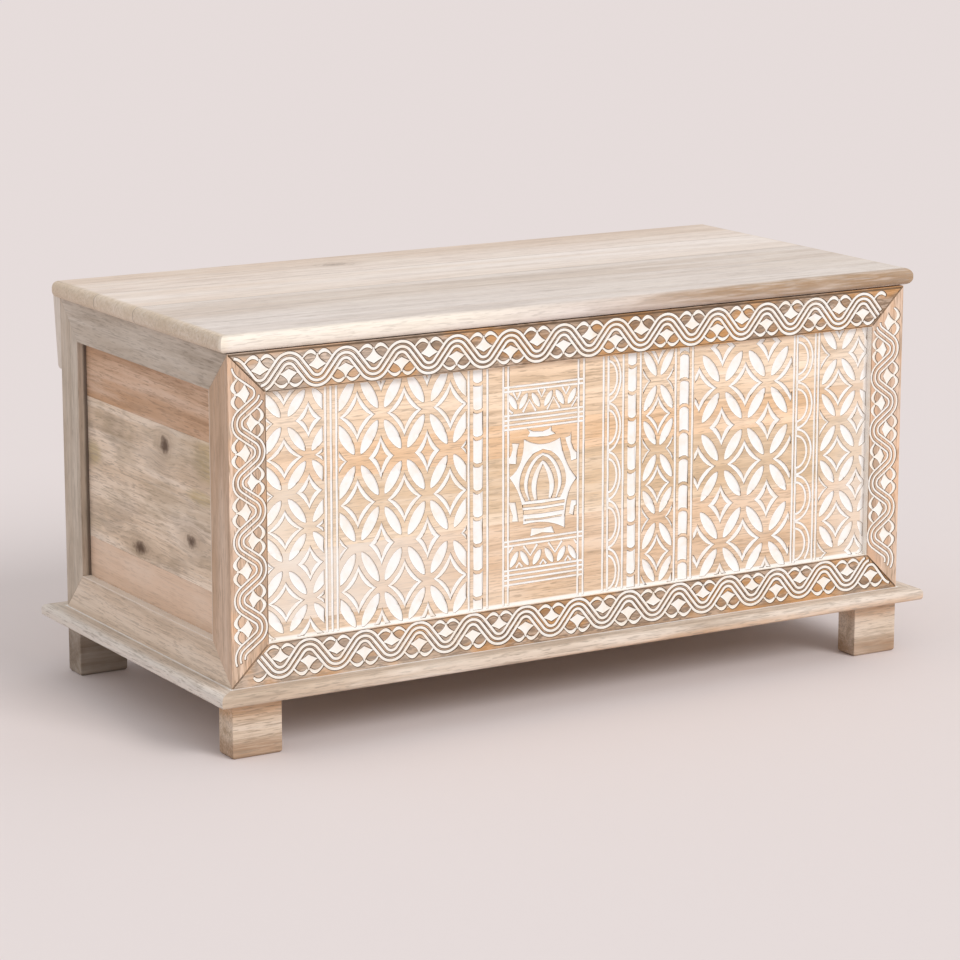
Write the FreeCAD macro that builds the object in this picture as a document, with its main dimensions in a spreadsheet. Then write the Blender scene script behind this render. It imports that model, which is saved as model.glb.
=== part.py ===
import FreeCAD, Part
import math
import os
import types
import Sketcher

# A blanket chest: four mitred frames with grooved panels stand on a moulded base with four feet.
# A lid of three boards turns on two butt hinges and leans on two stops behind the back.
# Millimetres. +Z is up, the front faces -Y, and the origin is on the floor under the middle.

SIZES = [
    ("carcass_width", 950, "walls, outside, left to right"),
    ("carcass_depth", 455, "walls, outside, front to back"),
    ("carcass_height", 390, "walls, from the base to the rim"),
    ("wall_thickness", 22, "stiles and rails"),
    ("frame_width", 48, "face of each stile and rail"),
    ("groove_depth", 9, "panel groove in the inner edge of a frame"),
    ("tongue_thickness", 6, "panel tongue and its groove"),
    ("tongue_end_gap", 0.5, "room for the panel to swell in its groove"),
    ("shoulder_gap", 0.5, "between the panel's thick middle and the frame"),
    ("front_recess", 8, "front panel behind the face of its frame"),
    ("plain_recess", 12, "side and back panels behind the face of their frames"),
    ("front_share_1", 0.07, "lowest board of the front panel, as a share of the opening's height"),
    ("front_share_2", 0.277, "second board"),
    ("front_share_3", 0.272, "third board"),
    ("front_share_4", 0.136, "fourth board; the fifth takes the rest"),
    ("plain_share_1", 0.17, "lowest board of a side or back panel, as a share of the opening's height"),
    ("plain_share_2", 0.6, "middle board; the top one takes the rest"),
    ("base_overhang", 25, "base beyond the walls, all round"),
    ("base_board_width", 70, "each of the four base boards"),
    ("base_thickness", 15, "base boards"),
    ("base_top_round", 6, "upper round of the base nose"),
    ("base_bottom_round", 4, "lower round of the base nose"),
    ("foot_length", 64, "foot, left to right"),
    ("foot_width", 35, "foot, front to back"),
    ("foot_height", 69, "foot"),
    ("foot_chamfer", 2, "around the underside of a foot"),
    ("floor_thickness", 9, "floor panel"),
    ("floor_gap", 0.5, "around the floor panel"),
    ("post_size", 24, "corner post, square"),
    ("post_chamfer", 7, "corner post's free edge"),
    ("post_drop", 12, "top of the corner posts below the rim"),
    ("lid_side_overhang", 10.5, "lid beyond the walls, left and right"),
    ("lid_front_overhang", 6, "lid beyond the front wall"),
    ("lid_thickness", 21, "lid boards"),
    ("lid_gap", 1, "between the rim and the closed lid"),
    ("lid_nose", 9, "round on the lid's front and ends, above and below"),
    ("lid_rear_round", 3, "round on the lid's rear edge"),
    ("lid_rear_board", 122, "width of the rear lid board"),
    ("lid_middle_board", 109, "width of the middle lid board"),
    ("batten_width", 60, "batten under the lid"),
    ("batten_thickness", 15, "batten under the lid"),
    ("batten_inset", 165, "end of the wall to the middle of a batten"),
    ("batten_front_room", 12, "batten to the inside of the front wall"),
    ("batten_rear_room", 16, "batten to the inside of the back wall"),
    ("batten_chamfer", 6, "lower edge of a batten's ends"),
    ("hinge_inset", 175, "end of the wall to the middle of a hinge"),
    ("hinge_length", 70, "leaf along the pin"),
    ("leaf_width", 24, "from the pin to the leaf's free edge"),
    ("leaf_thickness", 1.6, "hinge leaf"),
    ("leaf_play", 0.4, "between the closed leaves"),
    ("knuckle_radius", 3.4, "hinge barrel"),
    ("knuckle_play", 0.25, "between knuckles, along the pin"),
    ("barrel_gap", 0.4, "between the barrel and the back of the chest"),
    ("pin_radius", 1.6, "hinge pin"),
    ("pin_play", 0.05, "between the pin and its bore"),
    ("pin_head_radius", 2.6, "flattened ends of the pin"),
    ("pin_head_thickness", 1, "flattened ends of the pin"),
    ("stop_width", 45, "lid stop, left to right"),
    ("stop_height", 90, "lid stop"),
    ("stop_top_thickness", 20, "lid stop, where the lid leans on it"),
    ("stop_bottom_thickness", 10, "lid stop, lower end"),
    ("stop_round", 6, "lower corner of the lid stop"),
    ("stop_clearance", 0.3, "between the fully open lid and its stops"),
    ("open_angle", 100, "degrees that the lid opens"),
    ("hinge_hole_radius", 1.5, "screw hole, at the leaf's far face"),
    ("hinge_hole_spread", 24, "between the screw holes of a leaf"),
    ("hinge_hole_inset", 8, "screw holes from the leaf's free edge"),
]

KNUCKLES = 5
HOLES_PER_LEAF = 3
COUNTERSINK = 2
FULL_TURN = 360
SAME_POINT = 1e-6
LEAST_CUT = 1e-3
PLANES = {"front": "XZ_Plane", "side": "YZ_Plane", "plan": "XY_Plane"}
UP = FreeCAD.Vector(0, 0, 1)
ALONG_X = FreeCAD.Vector(1, 0, 0)


class Size:
    """A length that carries both its number and the expression that gives it."""

    def __init__(self, text, number):
        self.text = text
        self.number = number

    def join(self, other, sign, number):
        return Size("(%s %s %s)" % (self.text, sign, as_size(other).text), number)

    def __add__(self, other):
        return self.join(other, "+", self.number + as_size(other).number)

    def __sub__(self, other):
        return self.join(other, "-", self.number - as_size(other).number)

    def __mul__(self, other):
        return self.join(other, "*", self.number * as_size(other).number)

    def __truediv__(self, other):
        return self.join(other, "/", self.number / as_size(other).number)

    def __neg__(self):
        return Size("(0 - %s)" % self.text, -self.number)


def as_size(value):
    return value if isinstance(value, Size) else Size(str(value), float(value))


def sine(angle):
    return Size("sin(%s)" % angle.text, math.sin(math.radians(angle.number)))


def cosine(angle):
    return Size("cos(%s)" % angle.text, math.cos(math.radians(angle.number)))


doc = FreeCAD.newDocument("blanket_chest")
nodes = []


def fill_sheet():
    """Put the driving sizes into the sheet and return them by name."""
    sheet = doc.addObject("Spreadsheet::Sheet", "Sizes")
    named = {}
    for row, (alias, value, note) in enumerate(SIZES, 1):
        sheet.set("A%d" % row, note)
        sheet.set("B%d" % row, str(value))
        sheet.setAlias("B%d" % row, alias)
        named[alias] = Size("Sizes.%s" % alias, float(value))
    doc.recompute()
    return types.SimpleNamespace(**named)


size = fill_sheet()
ZERO = as_size(0)

# Places that several pieces share
half_width = size.carcass_width / 2
half_depth = size.carcass_depth / 2
carcass_bottom = size.foot_height + size.base_thickness
carcass_top = carcass_bottom + size.carcass_height
lid_bottom = carcass_top + size.lid_gap
hinge_y = half_depth + size.knuckle_radius + size.barrel_gap
hinge_z = carcass_top + size.lid_gap / 2
tongue_length = size.groove_depth - size.tongue_end_gap
leaf_foot = size.leaf_play / 2 + size.leaf_thickness


def stop_top_above_hinge():
    """Where the open lid's rear edge passes over a stop's outer edge, less the clearance."""
    setback = size.knuckle_radius + size.barrel_gap
    reach = size.stop_top_thickness - setback
    along = (reach + setback * cosine(size.open_angle)) / sine(size.open_angle)
    return setback * sine(size.open_angle) + along * cosine(size.open_angle) - size.stop_clearance


stop_top = hinge_z + stop_top_above_hinge()


def bind(thing, name, value):
    thing.setExpression(name, as_size(value).text)


def place(thing, x, y, z, angle=0, axis=UP):
    """Set a piece's placement, with its position bound to the sheet."""
    spot = [as_size(value) for value in (x, y, z)]
    base = FreeCAD.Vector(*[value.number for value in spot])
    thing.Placement = FreeCAD.Placement(base, FreeCAD.Rotation(axis, angle))
    for letter, value in zip("xyz", spot):
        bind(thing, "Placement.Base.%s" % letter, value)


def new_body(name):
    body = doc.addObject("PartDesign::Body", name)
    body.Label = name
    nodes.append(body)
    return body


def new_sketch(body, view):
    sketch = body.newObject("Sketcher::SketchObject", "%s_sketch" % body.Name)
    origin = [item for item in body.Origin.OriginFeatures if item.Role == PLANES[view]]
    sketch.AttachmentSupport = [(origin[0], "")]
    sketch.MapMode = "FlatFace"
    return sketch


def towards(here, there, radius):
    """The point one radius from a corner along its edge, which runs along X or Y."""
    if abs(there[0].number - here[0].number) > abs(there[1].number - here[1].number):
        sign = 1 if there[0].number > here[0].number else -1
        return (here[0] + radius * sign, here[1])
    sign = 1 if there[1].number > here[1].number else -1
    return (here[0], here[1] + radius * sign)


def arc_through(start, end, corner):
    """A quarter circle that rounds a square corner, drawn anticlockwise."""
    middle = start + end - corner
    circle = Part.Circle(middle, UP, (start - middle).Length)
    first = math.atan2(start.y - middle.y, start.x - middle.x)
    last = math.atan2(end.y - middle.y, end.x - middle.x)
    if (last - first) % (2 * math.pi) > math.pi:
        first, last = last, first
    return Part.ArcOfCircle(circle, first, last)


def draw(sketch, corners):
    """Add a closed outline. A corner with a third value is rounded by that radius."""
    corners = [tuple(as_size(value) for value in corner) for corner in corners]
    stations = []
    for index, corner in enumerate(corners):
        before = corners[index - 1]
        after = corners[(index + 1) % len(corners)]
        if len(corner) == 2:
            stations.append((corner, None))
        else:
            stations.append((towards(corner, before, corner[2]), corner))
            stations.append((towards(corner, after, corner[2]), None))
    first = sketch.GeometryCount
    flat = [FreeCAD.Vector(spot[0].number, spot[1].number, 0) for spot, _ in stations]
    for index, (spot, rounded) in enumerate(stations):
        start = flat[index]
        end = flat[(index + 1) % len(flat)]
        if rounded:
            corner = FreeCAD.Vector(rounded[0].number, rounded[1].number, 0)
            sketch.addGeometry(arc_through(start, end, corner))
        else:
            sketch.addGeometry(Part.LineSegment(start, end))
    ends = []
    for index, (spot, rounded) in enumerate(stations):
        curve = sketch.Geometry[first + index]
        forward = (curve.StartPoint - flat[index]).Length < SAME_POINT
        ends.append((1, 2) if forward else (2, 1))
    for index, (spot, rounded) in enumerate(stations):
        following = (index + 1) % len(stations)
        tail = (first + index, ends[index][1])
        head = (first + following, ends[following][0])
        sketch.addConstraint(Sketcher.Constraint("Coincident", *tail, *head))
    for index, (spot, rounded) in enumerate(stations):
        if rounded:
            turn = Sketcher.Constraint("Radius", first + index, rounded[2].number)
            bind(sketch, "Constraints[%d]" % sketch.addConstraint(turn), rounded[2])
        for kind, value in (("DistanceX", spot[0]), ("DistanceY", spot[1])):
            hold = Sketcher.Constraint(kind, -1, 1, first + index, ends[index][0], value.number)
            bind(sketch, "Constraints[%d]" % sketch.addConstraint(hold), value)


def draw_circle(sketch, x, y, radius):
    spot = FreeCAD.Vector(x.number, y.number, 0)
    index = sketch.addGeometry(Part.Circle(spot, UP, radius.number))
    turn = sketch.addConstraint(Sketcher.Constraint("Radius", index, radius.number))
    bind(sketch, "Constraints[%d]" % turn, radius)
    for kind, value in (("DistanceX", x), ("DistanceY", y)):
        hold = sketch.addConstraint(Sketcher.Constraint(kind, -1, 1, index, 3, value.number))
        bind(sketch, "Constraints[%d]" % hold, value)


def box_corners(x0, x1, y0, y1):
    return [(x0, y0), (x1, y0), (x1, y1), (x0, y1)]


def pad(body, sketch, length, both_ways=False, backwards=False):
    feature = body.newObject("PartDesign::Pad", "%s_pad" % body.Name)
    feature.Profile = sketch
    bind(feature, "Length", length)
    feature.Midplane = both_ways
    feature.Reversed = backwards
    doc.recompute()
    return feature


def cut(body, view, *outlines):
    """Cut outlines through the whole piece, and make sure that they remove something."""
    before = body.Shape.Volume
    sketch = new_sketch(body, view)
    for corners in outlines:
        draw(sketch, corners)
    feature = body.newObject("PartDesign::Pocket", "%s_cut" % body.Name)
    feature.Profile = sketch
    feature.Type = "ThroughAll"
    feature.Midplane = True
    doc.recompute()
    require_smaller(body, before)


def require_smaller(body, before):
    if not body.Shape.Volume < before - LEAST_CUT:
        raise RuntimeError("a cut in %s removed nothing" % body.Label)


def bore(body, kind, spot, axis, angle, sizes):
    """Cut one cylinder or cone, turned about an axis, and make sure that it removes something."""
    before = body.Shape.Volume
    hole = body.newObject("PartDesign::Subtractive%s" % kind, "%s_hole" % body.Name)
    for name, value in sizes.items():
        bind(hole, name, value)
    place(hole, *spot, angle, axis)
    doc.recompute()
    require_smaller(body, before)


def countersink(body, spot, axis, angle, radius, height):
    sizes = {"Radius1": radius * COUNTERSINK, "Radius2": radius, "Height": height}
    bore(body, "Cone", spot, axis, angle, sizes)


def square_block(name, outline, height, x, y, z):
    """A piece cut to a plan outline and padded upwards."""
    body = new_body(name)
    sketch = new_sketch(body, "plan")
    draw(sketch, outline)
    pad(body, sketch, height)
    place(body, x, y, z)
    return body


# Walls. Each is drawn in its own frame: X along the wall, outer face at Y = 0, thickness to +Y.
def wall_turn(wall):
    return {"front": 0, "right": 90, "back": 180, "left": 270}[wall]


def stand_wall_piece(body, wall, lift):
    spot = {
        "front": (ZERO, -half_depth),
        "right": (half_width, ZERO),
        "back": (ZERO, half_depth),
        "left": (-half_width, ZERO),
    }[wall]
    place(body, spot[0], spot[1], lift, wall_turn(wall))


def corner_wedge(reach, side):
    """What a wall's end loses so that it meets the next wall in an upright mitre."""
    end = reach * side
    thick = size.wall_thickness
    return [(end, 0), (end, thick), (end - thick * side, thick)]


def wall_member(name, wall, outline, groove_view, groove, wedges):
    body = new_body(name)
    sketch = new_sketch(body, "front")
    draw(sketch, outline)
    pad(body, sketch, size.wall_thickness, backwards=True)
    cut(body, "plan", *wedges)
    cut(body, groove_view, groove)
    stand_wall_piece(body, wall, carcass_bottom)
    return body


def wall_frame(wall, reach, recess, left_name, right_name):
    """Two rails and two stiles with mitred ends and a groove for the panel."""
    top = size.carcass_height
    width = size.frame_width
    deep = recess + size.tongue_thickness
    inner = reach - width
    members = {}
    for name, outer, edge in (("top_rail", top, top - width), ("bottom_rail", ZERO, width)):
        outline = [(-reach, outer), (reach, outer), (inner, edge), (-inner, edge)]
        bottom_of_groove = edge + size.groove_depth * (1 if name == "top_rail" else -1)
        groove = box_corners(recess, deep, edge, bottom_of_groove)
        wedges = [corner_wedge(reach, side) for side in (-1, 1)]
        full_name = "%s_%s" % (wall, name)
        members[name] = wall_member(full_name, wall, outline, "side", groove, wedges)
    for name, side in ((left_name, -1), (right_name, 1)):
        near = inner * side
        far = reach * side
        outline = [(far, 0), (far, top), (near, top - width), (near, width)]
        groove = box_corners(near, (inner + size.groove_depth) * side, recess, deep)
        full_name = "%s_%s" % (wall, name)
        wedges = [corner_wedge(reach, side)]
        members[name] = wall_member(full_name, wall, outline, "plan", groove, wedges)
    return members


def panel_board(name, wall, reach, recess, start, height, is_bottom, is_top):
    """One board: a tongue at each end, and along its outer edge where it is the lowest or highest."""
    body = new_body(name)
    deep = recess + size.tongue_thickness
    thick = size.wall_thickness
    opening = reach - size.frame_width
    tip = opening + tongue_length
    body_end = opening - size.shoulder_gap
    section = [(-tip, recess), (tip, recess), (tip, deep), (body_end, deep), (body_end, thick)]
    section += [(-body_end, thick), (-body_end, deep), (-tip, deep)]
    sketch = new_sketch(body, "plan")
    draw(sketch, section)
    below = tongue_length if is_bottom else ZERO
    above = tongue_length if is_top else ZERO
    full = below + height + above
    pad(body, sketch, full)
    shoulder = tongue_length + size.shoulder_gap
    if is_bottom:
        cut(body, "side", box_corners(deep, thick, ZERO, shoulder))
    if is_top:
        cut(body, "side", box_corners(deep, thick, full - shoulder, full))
    stand_wall_piece(body, wall, carcass_bottom + start - below)


def wall_panel(wall, reach, recess, shares, names):
    """Boards from the bottom up; the last one fills what is left of the opening."""
    start = size.frame_width
    opening = size.carcass_height - size.frame_width * 2
    left = opening
    for index, name in enumerate(names):
        last = index == len(names) - 1
        height = left if last else opening * shares[index]
        full_name = "%s_panel_%s" % (wall, name)
        panel_board(full_name, wall, reach, recess, start, height, index == 0, last)
        start = start + height
        left = left - height


def make_walls():
    front_shares = [size.front_share_1, size.front_share_2, size.front_share_3, size.front_share_4]
    plain_shares = [size.plain_share_1, size.plain_share_2]
    front_names = ["board_1", "board_2", "board_3", "board_4", "board_5"]
    plain_names = ["bottom_board", "middle_board", "top_board"]
    wall_frame("front", half_width, size.front_recess, "left_stile", "right_stile")
    wall_panel("front", half_width, size.front_recess, front_shares, front_names)
    wall_frame("right", half_depth, size.plain_recess, "front_stile", "rear_stile")
    wall_panel("right", half_depth, size.plain_recess, plain_shares, plain_names)
    wall_frame("left", half_depth, size.plain_recess, "rear_stile", "front_stile")
    wall_panel("left", half_depth, size.plain_recess, plain_shares, plain_names)
    back = wall_frame("back", half_width, size.plain_recess, "right_stile", "left_stile")
    wall_panel("back", half_width, size.plain_recess, plain_shares, plain_names)
    return back["top_rail"]


# Inside and under the walls
def make_posts():
    inside_x = half_width - size.wall_thickness
    inside_y = half_depth - size.wall_thickness
    stand = carcass_bottom + size.floor_thickness
    height = carcass_top - size.post_drop - stand
    for depth_name, along_y in (("front", -1), ("rear", 1)):
        for width_name, along_x in (("left", -1), ("right", 1)):
            far = size.post_size
            bare = size.post_size - size.post_chamfer
            outline = [(0, 0), (far, 0), (far, bare), (bare, far), (0, far)]
            turned = [(as_size(x) * -along_x, as_size(y) * -along_y) for x, y in outline]
            name = "corner_post_%s_%s" % (depth_name, width_name)
            square_block(name, turned, height, inside_x * along_x, inside_y * along_y, stand)


def make_floor():
    reach_x = half_width - size.wall_thickness - size.floor_gap
    reach_y = half_depth - size.wall_thickness - size.floor_gap
    outline = box_corners(-reach_x, reach_x, -reach_y, reach_y)
    square_block("floor_panel", outline, size.floor_thickness, ZERO, ZERO, carcass_bottom)


def base_board(name, reach, outer, turn):
    """A board along X with its nose towards -Y, mitred at both ends, then turned into place."""
    body = new_body(name)
    sketch = new_sketch(body, "side")
    inner = outer - size.base_board_width
    nose = [
        (-inner, 0),
        (-inner, size.base_thickness),
        (-outer, size.base_thickness, size.base_top_round),
        (-outer, 0, size.base_bottom_round),
    ]
    draw(sketch, nose)
    pad(body, sketch, reach * 2, both_ways=True)
    corners = []
    for side in (-1, 1):
        tip = (reach * side, -outer)
        heel = ((reach - size.base_board_width) * side, -inner)
        corners.append([tip, heel, (reach * side, -inner)])
    cut(body, "plan", *corners)
    place(body, ZERO, ZERO, size.foot_height, turn)


def make_base():
    reach_x = half_width + size.base_overhang
    reach_y = half_depth + size.base_overhang
    base_board("base_front_board", reach_x, reach_y, wall_turn("front"))
    base_board("base_right_board", reach_y, reach_x, wall_turn("right"))
    base_board("base_rear_board", reach_x, reach_y, wall_turn("back"))
    base_board("base_left_board", reach_y, reach_x, wall_turn("left"))


def make_feet():
    length = size.foot_length
    width = size.foot_width
    for depth_name, along_y in (("front", -1), ("rear", 1)):
        for width_name, along_x in (("left", -1), ("right", 1)):
            outline = box_corners(-length / 2, length / 2, -width / 2, width / 2)
            x = (half_width - length / 2) * along_x
            y = (half_depth - width / 2) * along_y
            name = "foot_%s_%s" % (depth_name, width_name)
            foot = square_block(name, outline, size.foot_height, x, y, ZERO)
            dress_edges(foot, "Chamfer", "Size", size.foot_chamfer, is_underside)


def is_underside(spot):
    return abs(spot.z) < SAME_POINT


def dress_edges(body, kind, size_name, value, test):
    """Chamfer or round the edges whose middles pass a test, and make sure that it does something."""
    before = body.Shape.Volume
    plain = body.Tip
    names = []
    for index, edge in enumerate(plain.Shape.Edges, 1):
        if test(edge.CenterOfMass):
            names.append("Edge%d" % index)
    feature = body.newObject("PartDesign::%s" % kind, "%s_%s" % (body.Name, kind.lower()))
    feature.Base = (plain, names)
    bind(feature, size_name, value)
    doc.recompute()
    require_smaller(body, before)


# The lid. Its boards run left to right, drawn at Z = 0 under the lid.
def lid_board(name, front, rear, front_round, rear_round):
    body = new_body(name)
    thick = size.lid_thickness
    profile = []
    for y, z, rounded in ((front, ZERO, front_round), (rear, ZERO, rear_round),
                          (rear, thick, rear_round), (front, thick, front_round)):
        profile.append((y, z, rounded) if rounded else (y, z))
    sketch = new_sketch(body, "side")
    draw(sketch, profile)
    reach = half_width + size.lid_side_overhang
    pad(body, sketch, reach * 2, both_ways=True)
    round_lid_ends(body, reach)
    place(body, ZERO, ZERO, lid_bottom)
    return body


def round_lid_ends(body, reach):
    """Take the four square corners off the board's ends, leaving a rounded nose."""
    before = body.Shape.Volume
    nose = size.lid_nose
    thick = size.lid_thickness
    sketch = new_sketch(body, "front")
    for side in (-1, 1):
        for level, inward in ((ZERO, 1), (thick, -1)):
            draw_spandrel(sketch, reach * side, level, nose, -side, inward)
    feature = body.newObject("PartDesign::Pocket", "%s_ends" % body.Name)
    feature.Profile = sketch
    feature.Type = "ThroughAll"
    feature.Midplane = True
    doc.recompute()
    require_smaller(body, before)


def draw_spandrel(sketch, x, y, radius, into_x, into_y):
    """The waste between a square corner and the round that replaces it."""
    corner = FreeCAD.Vector(x.number, y.number, 0)
    along = (x + radius * into_x, y)
    up = (x, y + radius * into_y)
    start = FreeCAD.Vector(along[0].number, along[1].number, 0)
    end = FreeCAD.Vector(up[0].number, up[1].number, 0)
    first = sketch.GeometryCount
    sketch.addGeometry(Part.LineSegment(end, corner))
    sketch.addGeometry(Part.LineSegment(corner, start))
    sketch.addGeometry(arc_through(start, end, corner))
    arc = first + 2
    starts_right = (sketch.Geometry[arc].StartPoint - start).Length < SAME_POINT
    arc_start, arc_end = (1, 2) if starts_right else (2, 1)
    sketch.addConstraint(Sketcher.Constraint("Coincident", first, 2, first + 1, 1))
    sketch.addConstraint(Sketcher.Constraint("Coincident", first + 1, 2, arc, arc_start))
    sketch.addConstraint(Sketcher.Constraint("Coincident", arc, arc_end, first, 1))
    turn = sketch.addConstraint(Sketcher.Constraint("Radius", arc, radius.number))
    bind(sketch, "Constraints[%d]" % turn, radius)
    for edge, point, spot in ((first, 1, up), (first + 1, 1, (x, y)), (first + 1, 2, along)):
        for kind, value in (("DistanceX", spot[0]), ("DistanceY", spot[1])):
            hold = Sketcher.Constraint(kind, -1, 1, edge, point, value.number)
            bind(sketch, "Constraints[%d]" % sketch.addConstraint(hold), value)


def make_lid():
    front = -half_depth - size.lid_front_overhang
    rear = half_depth
    rear_seam = rear - size.lid_rear_board
    front_seam = rear_seam - size.lid_middle_board
    lid_board("lid_front_board", front, front_seam, size.lid_nose, None)
    lid_board("lid_middle_board", front_seam, rear_seam, None, None)
    rear_board = lid_board("lid_rear_board", rear_seam, rear, None, size.lid_rear_round)
    return rear_board


def make_battens():
    """Two battens hold the lid boards together."""
    front = -half_depth + size.wall_thickness + size.batten_front_room
    rear = half_depth - size.wall_thickness - size.batten_rear_room
    thick = size.batten_thickness
    bevel = size.batten_chamfer
    for name, side in (("lid_batten_left", -1), ("lid_batten_right", 1)):
        body = new_body(name)
        profile = [(front, 0), (front, -thick + bevel), (front + bevel, -thick)]
        profile += [(rear - bevel, -thick), (rear, -thick + bevel), (rear, 0)]
        sketch = new_sketch(body, "side")
        draw(sketch, profile)
        pad(body, sketch, size.batten_width, both_ways=True)
        place(body, (half_width - size.batten_inset) * side, ZERO, lid_bottom)


# Hinges. Each is drawn with its pin along X through the origin and its leaves towards -Y.
def knuckle_gaps(own):
    """Plan outlines of the places along the barrel that the other leaf's knuckles fill."""
    pitch = size.hinge_length / KNUCKLES
    room = size.knuckle_radius + size.barrel_gap / 2
    gaps = []
    for index in range(KNUCKLES):
        if index in own:
            continue
        start = pitch * index - size.hinge_length / 2
        end = start + pitch
        if index > 0:
            start = start - size.knuckle_play / 2
        if index < KNUCKLES - 1:
            end = end + size.knuckle_play / 2
        gaps.append(box_corners(start, end, -room, room))
    return gaps


def leaf_hole_x(index):
    return size.hinge_hole_spread * (index - (HOLES_PER_LEAF - 1) / 2)


def hinge_leaf(name, side, middle, own):
    """A plate with its knuckles. It lies above the pin where side is 1, below where it is -1."""
    body = new_body(name)
    near = size.leaf_play / 2 * side
    far = leaf_foot * side
    plate = new_sketch(body, "side")
    draw(plate, box_corners(-size.leaf_width, ZERO, near, far))
    pad(body, plate, size.hinge_length, both_ways=True)
    barrel = new_sketch(body, "side")
    draw_circle(barrel, ZERO, ZERO, size.knuckle_radius)
    pad(body, barrel, size.hinge_length, both_ways=True)
    cut(body, "plan", *knuckle_gaps(own))
    start = (-size.hinge_length / 2, ZERO, ZERO)
    bore_size = {"Radius": size.pin_radius + size.pin_play, "Height": size.hinge_length}
    bore(body, "Cylinder", start, FreeCAD.Vector(0, 1, 0), 90, bore_size)
    turn = 0 if side > 0 else 180
    y = -size.leaf_width + size.hinge_hole_inset
    for index in range(HOLES_PER_LEAF):
        spot = (leaf_hole_x(index), y, near)
        countersink(body, spot, ALONG_X, turn, size.hinge_hole_radius, size.leaf_thickness)
    place(body, middle, hinge_y, hinge_z)


def hinge_pin(name, middle):
    body = new_body(name)
    end = size.hinge_length / 2
    head = end + size.pin_head_thickness
    thin = size.pin_radius
    wide = size.pin_head_radius
    outline = [(-head, 0), (-head, wide), (-end, wide), (-end, thin)]
    outline += [(end, thin), (end, wide), (head, wide), (head, 0)]
    sketch = new_sketch(body, "front")
    draw(sketch, outline)
    turned = body.newObject("PartDesign::Revolution", "%s_turned" % name)
    turned.Profile = sketch
    turned.ReferenceAxis = (sketch, ["H_Axis"])
    turned.Angle = FULL_TURN
    doc.recompute()
    place(body, middle, hinge_y, hinge_z)


def mortise_rail(rail, middle):
    """Let a lower leaf into the top of the back wall, which is drawn facing the other way."""
    depth = carcass_top - hinge_z + leaf_foot
    inner = size.leaf_width - size.knuckle_radius - size.barrel_gap
    top = size.carcass_height
    pocket_box(rail, -middle, ZERO, inner, top - depth, depth)


def mortise_lid(board, middle):
    """Let an upper leaf into the underside of the rear lid board."""
    depth = hinge_z + leaf_foot - lid_bottom
    inner = hinge_y - size.leaf_width
    pocket_box(board, middle, inner, half_depth, ZERO, depth)


def pocket_box(body, middle, y0, y1, bottom, height):
    """Cut a rectangular mortise as long as a hinge leaf."""
    before = body.Shape.Volume
    cutter = body.newObject("PartDesign::SubtractiveBox", "%s_mortise" % body.Name)
    bind(cutter, "Length", size.hinge_length)
    bind(cutter, "Width", as_size(y1) - y0)
    bind(cutter, "Height", height)
    place(cutter, middle - size.hinge_length / 2, y0, bottom)
    doc.recompute()
    require_smaller(body, before)


def make_hinges(back_rail, rear_board):
    lower = [index for index in range(KNUCKLES) if index % 2 == 0]
    upper = [index for index in range(KNUCKLES) if index % 2 == 1]
    for side_name, side in (("left", -1), ("right", 1)):
        middle = (half_width - size.hinge_inset) * side
        hinge_leaf("hinge_%s_lower_leaf" % side_name, -1, middle, lower)
        hinge_leaf("hinge_%s_upper_leaf" % side_name, 1, middle, upper)
        hinge_pin("hinge_%s_pin" % side_name, middle)
        mortise_rail(back_rail, middle)
        mortise_lid(rear_board, middle)


# Lid stops on the back, drawn with X along the back and +Y away from it.
def make_stops():
    for name, side in (("lid_stop_left", -1), ("lid_stop_right", 1)):
        body = new_body(name)
        profile = [(0, 0), (size.stop_bottom_thickness, 0)]
        profile += [(size.stop_top_thickness, size.stop_height), (0, size.stop_height)]
        sketch = new_sketch(body, "side")
        draw(sketch, profile)
        pad(body, sketch, size.stop_width, both_ways=True)
        dress_edges(body, "Fillet", "Radius", size.stop_round, is_stop_corner)
        middle = (half_width - size.stop_width / 2) * side
        place(body, middle, half_depth, stop_top - size.stop_height)


def is_stop_corner(spot):
    return is_underside(spot) and abs(spot.y - size.stop_bottom_thickness.number) < SAME_POINT


def check_document():
    """Stop if any object failed or any piece is missing or broken."""
    doc.recompute()
    for item in doc.Objects:
        if "Invalid" in item.State or "Error" in item.State:
            raise RuntimeError("%s failed: %s" % (item.Label, item.State))
    for node in nodes:
        if node.Shape.isNull() or not node.Shape.isValid():
            raise RuntimeError("%s has no valid shape" % node.Label)


def write_parts():
    os.makedirs("parts", exist_ok=True)
    for node in nodes:
        node.Shape.exportStep("parts/%s.step" % node.Label)


back_top_rail = make_walls()
make_posts()
make_floor()
make_base()
make_feet()
rear_lid_board = make_lid()
make_battens()
make_hinges(back_top_rail, rear_lid_board)
make_stops()
check_document()
write_parts()
print("%d nodes" % len(nodes))
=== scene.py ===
import math
import random

import bmesh
import bpy
import numpy
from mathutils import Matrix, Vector
from mathutils.geometry import delaunay_2d_cdt


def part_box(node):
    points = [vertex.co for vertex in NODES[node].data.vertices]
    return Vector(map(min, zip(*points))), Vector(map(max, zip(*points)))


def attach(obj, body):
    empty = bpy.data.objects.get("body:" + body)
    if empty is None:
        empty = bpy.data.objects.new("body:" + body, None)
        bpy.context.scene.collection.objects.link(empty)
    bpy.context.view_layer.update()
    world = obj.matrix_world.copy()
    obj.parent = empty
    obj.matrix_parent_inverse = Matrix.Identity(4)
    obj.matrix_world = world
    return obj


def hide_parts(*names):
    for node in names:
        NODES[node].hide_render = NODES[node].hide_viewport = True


bl_info = {
    "name": "Carved blanket chest",
    "version": (1, 0, 0),
    "blender": (4, 5, 0),
    "location": "3D View > Sidebar > Chest",
    "description": "Carves and finishes a whitewashed blanket chest on its CAD frame",
    "category": "Object",
}

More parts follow.
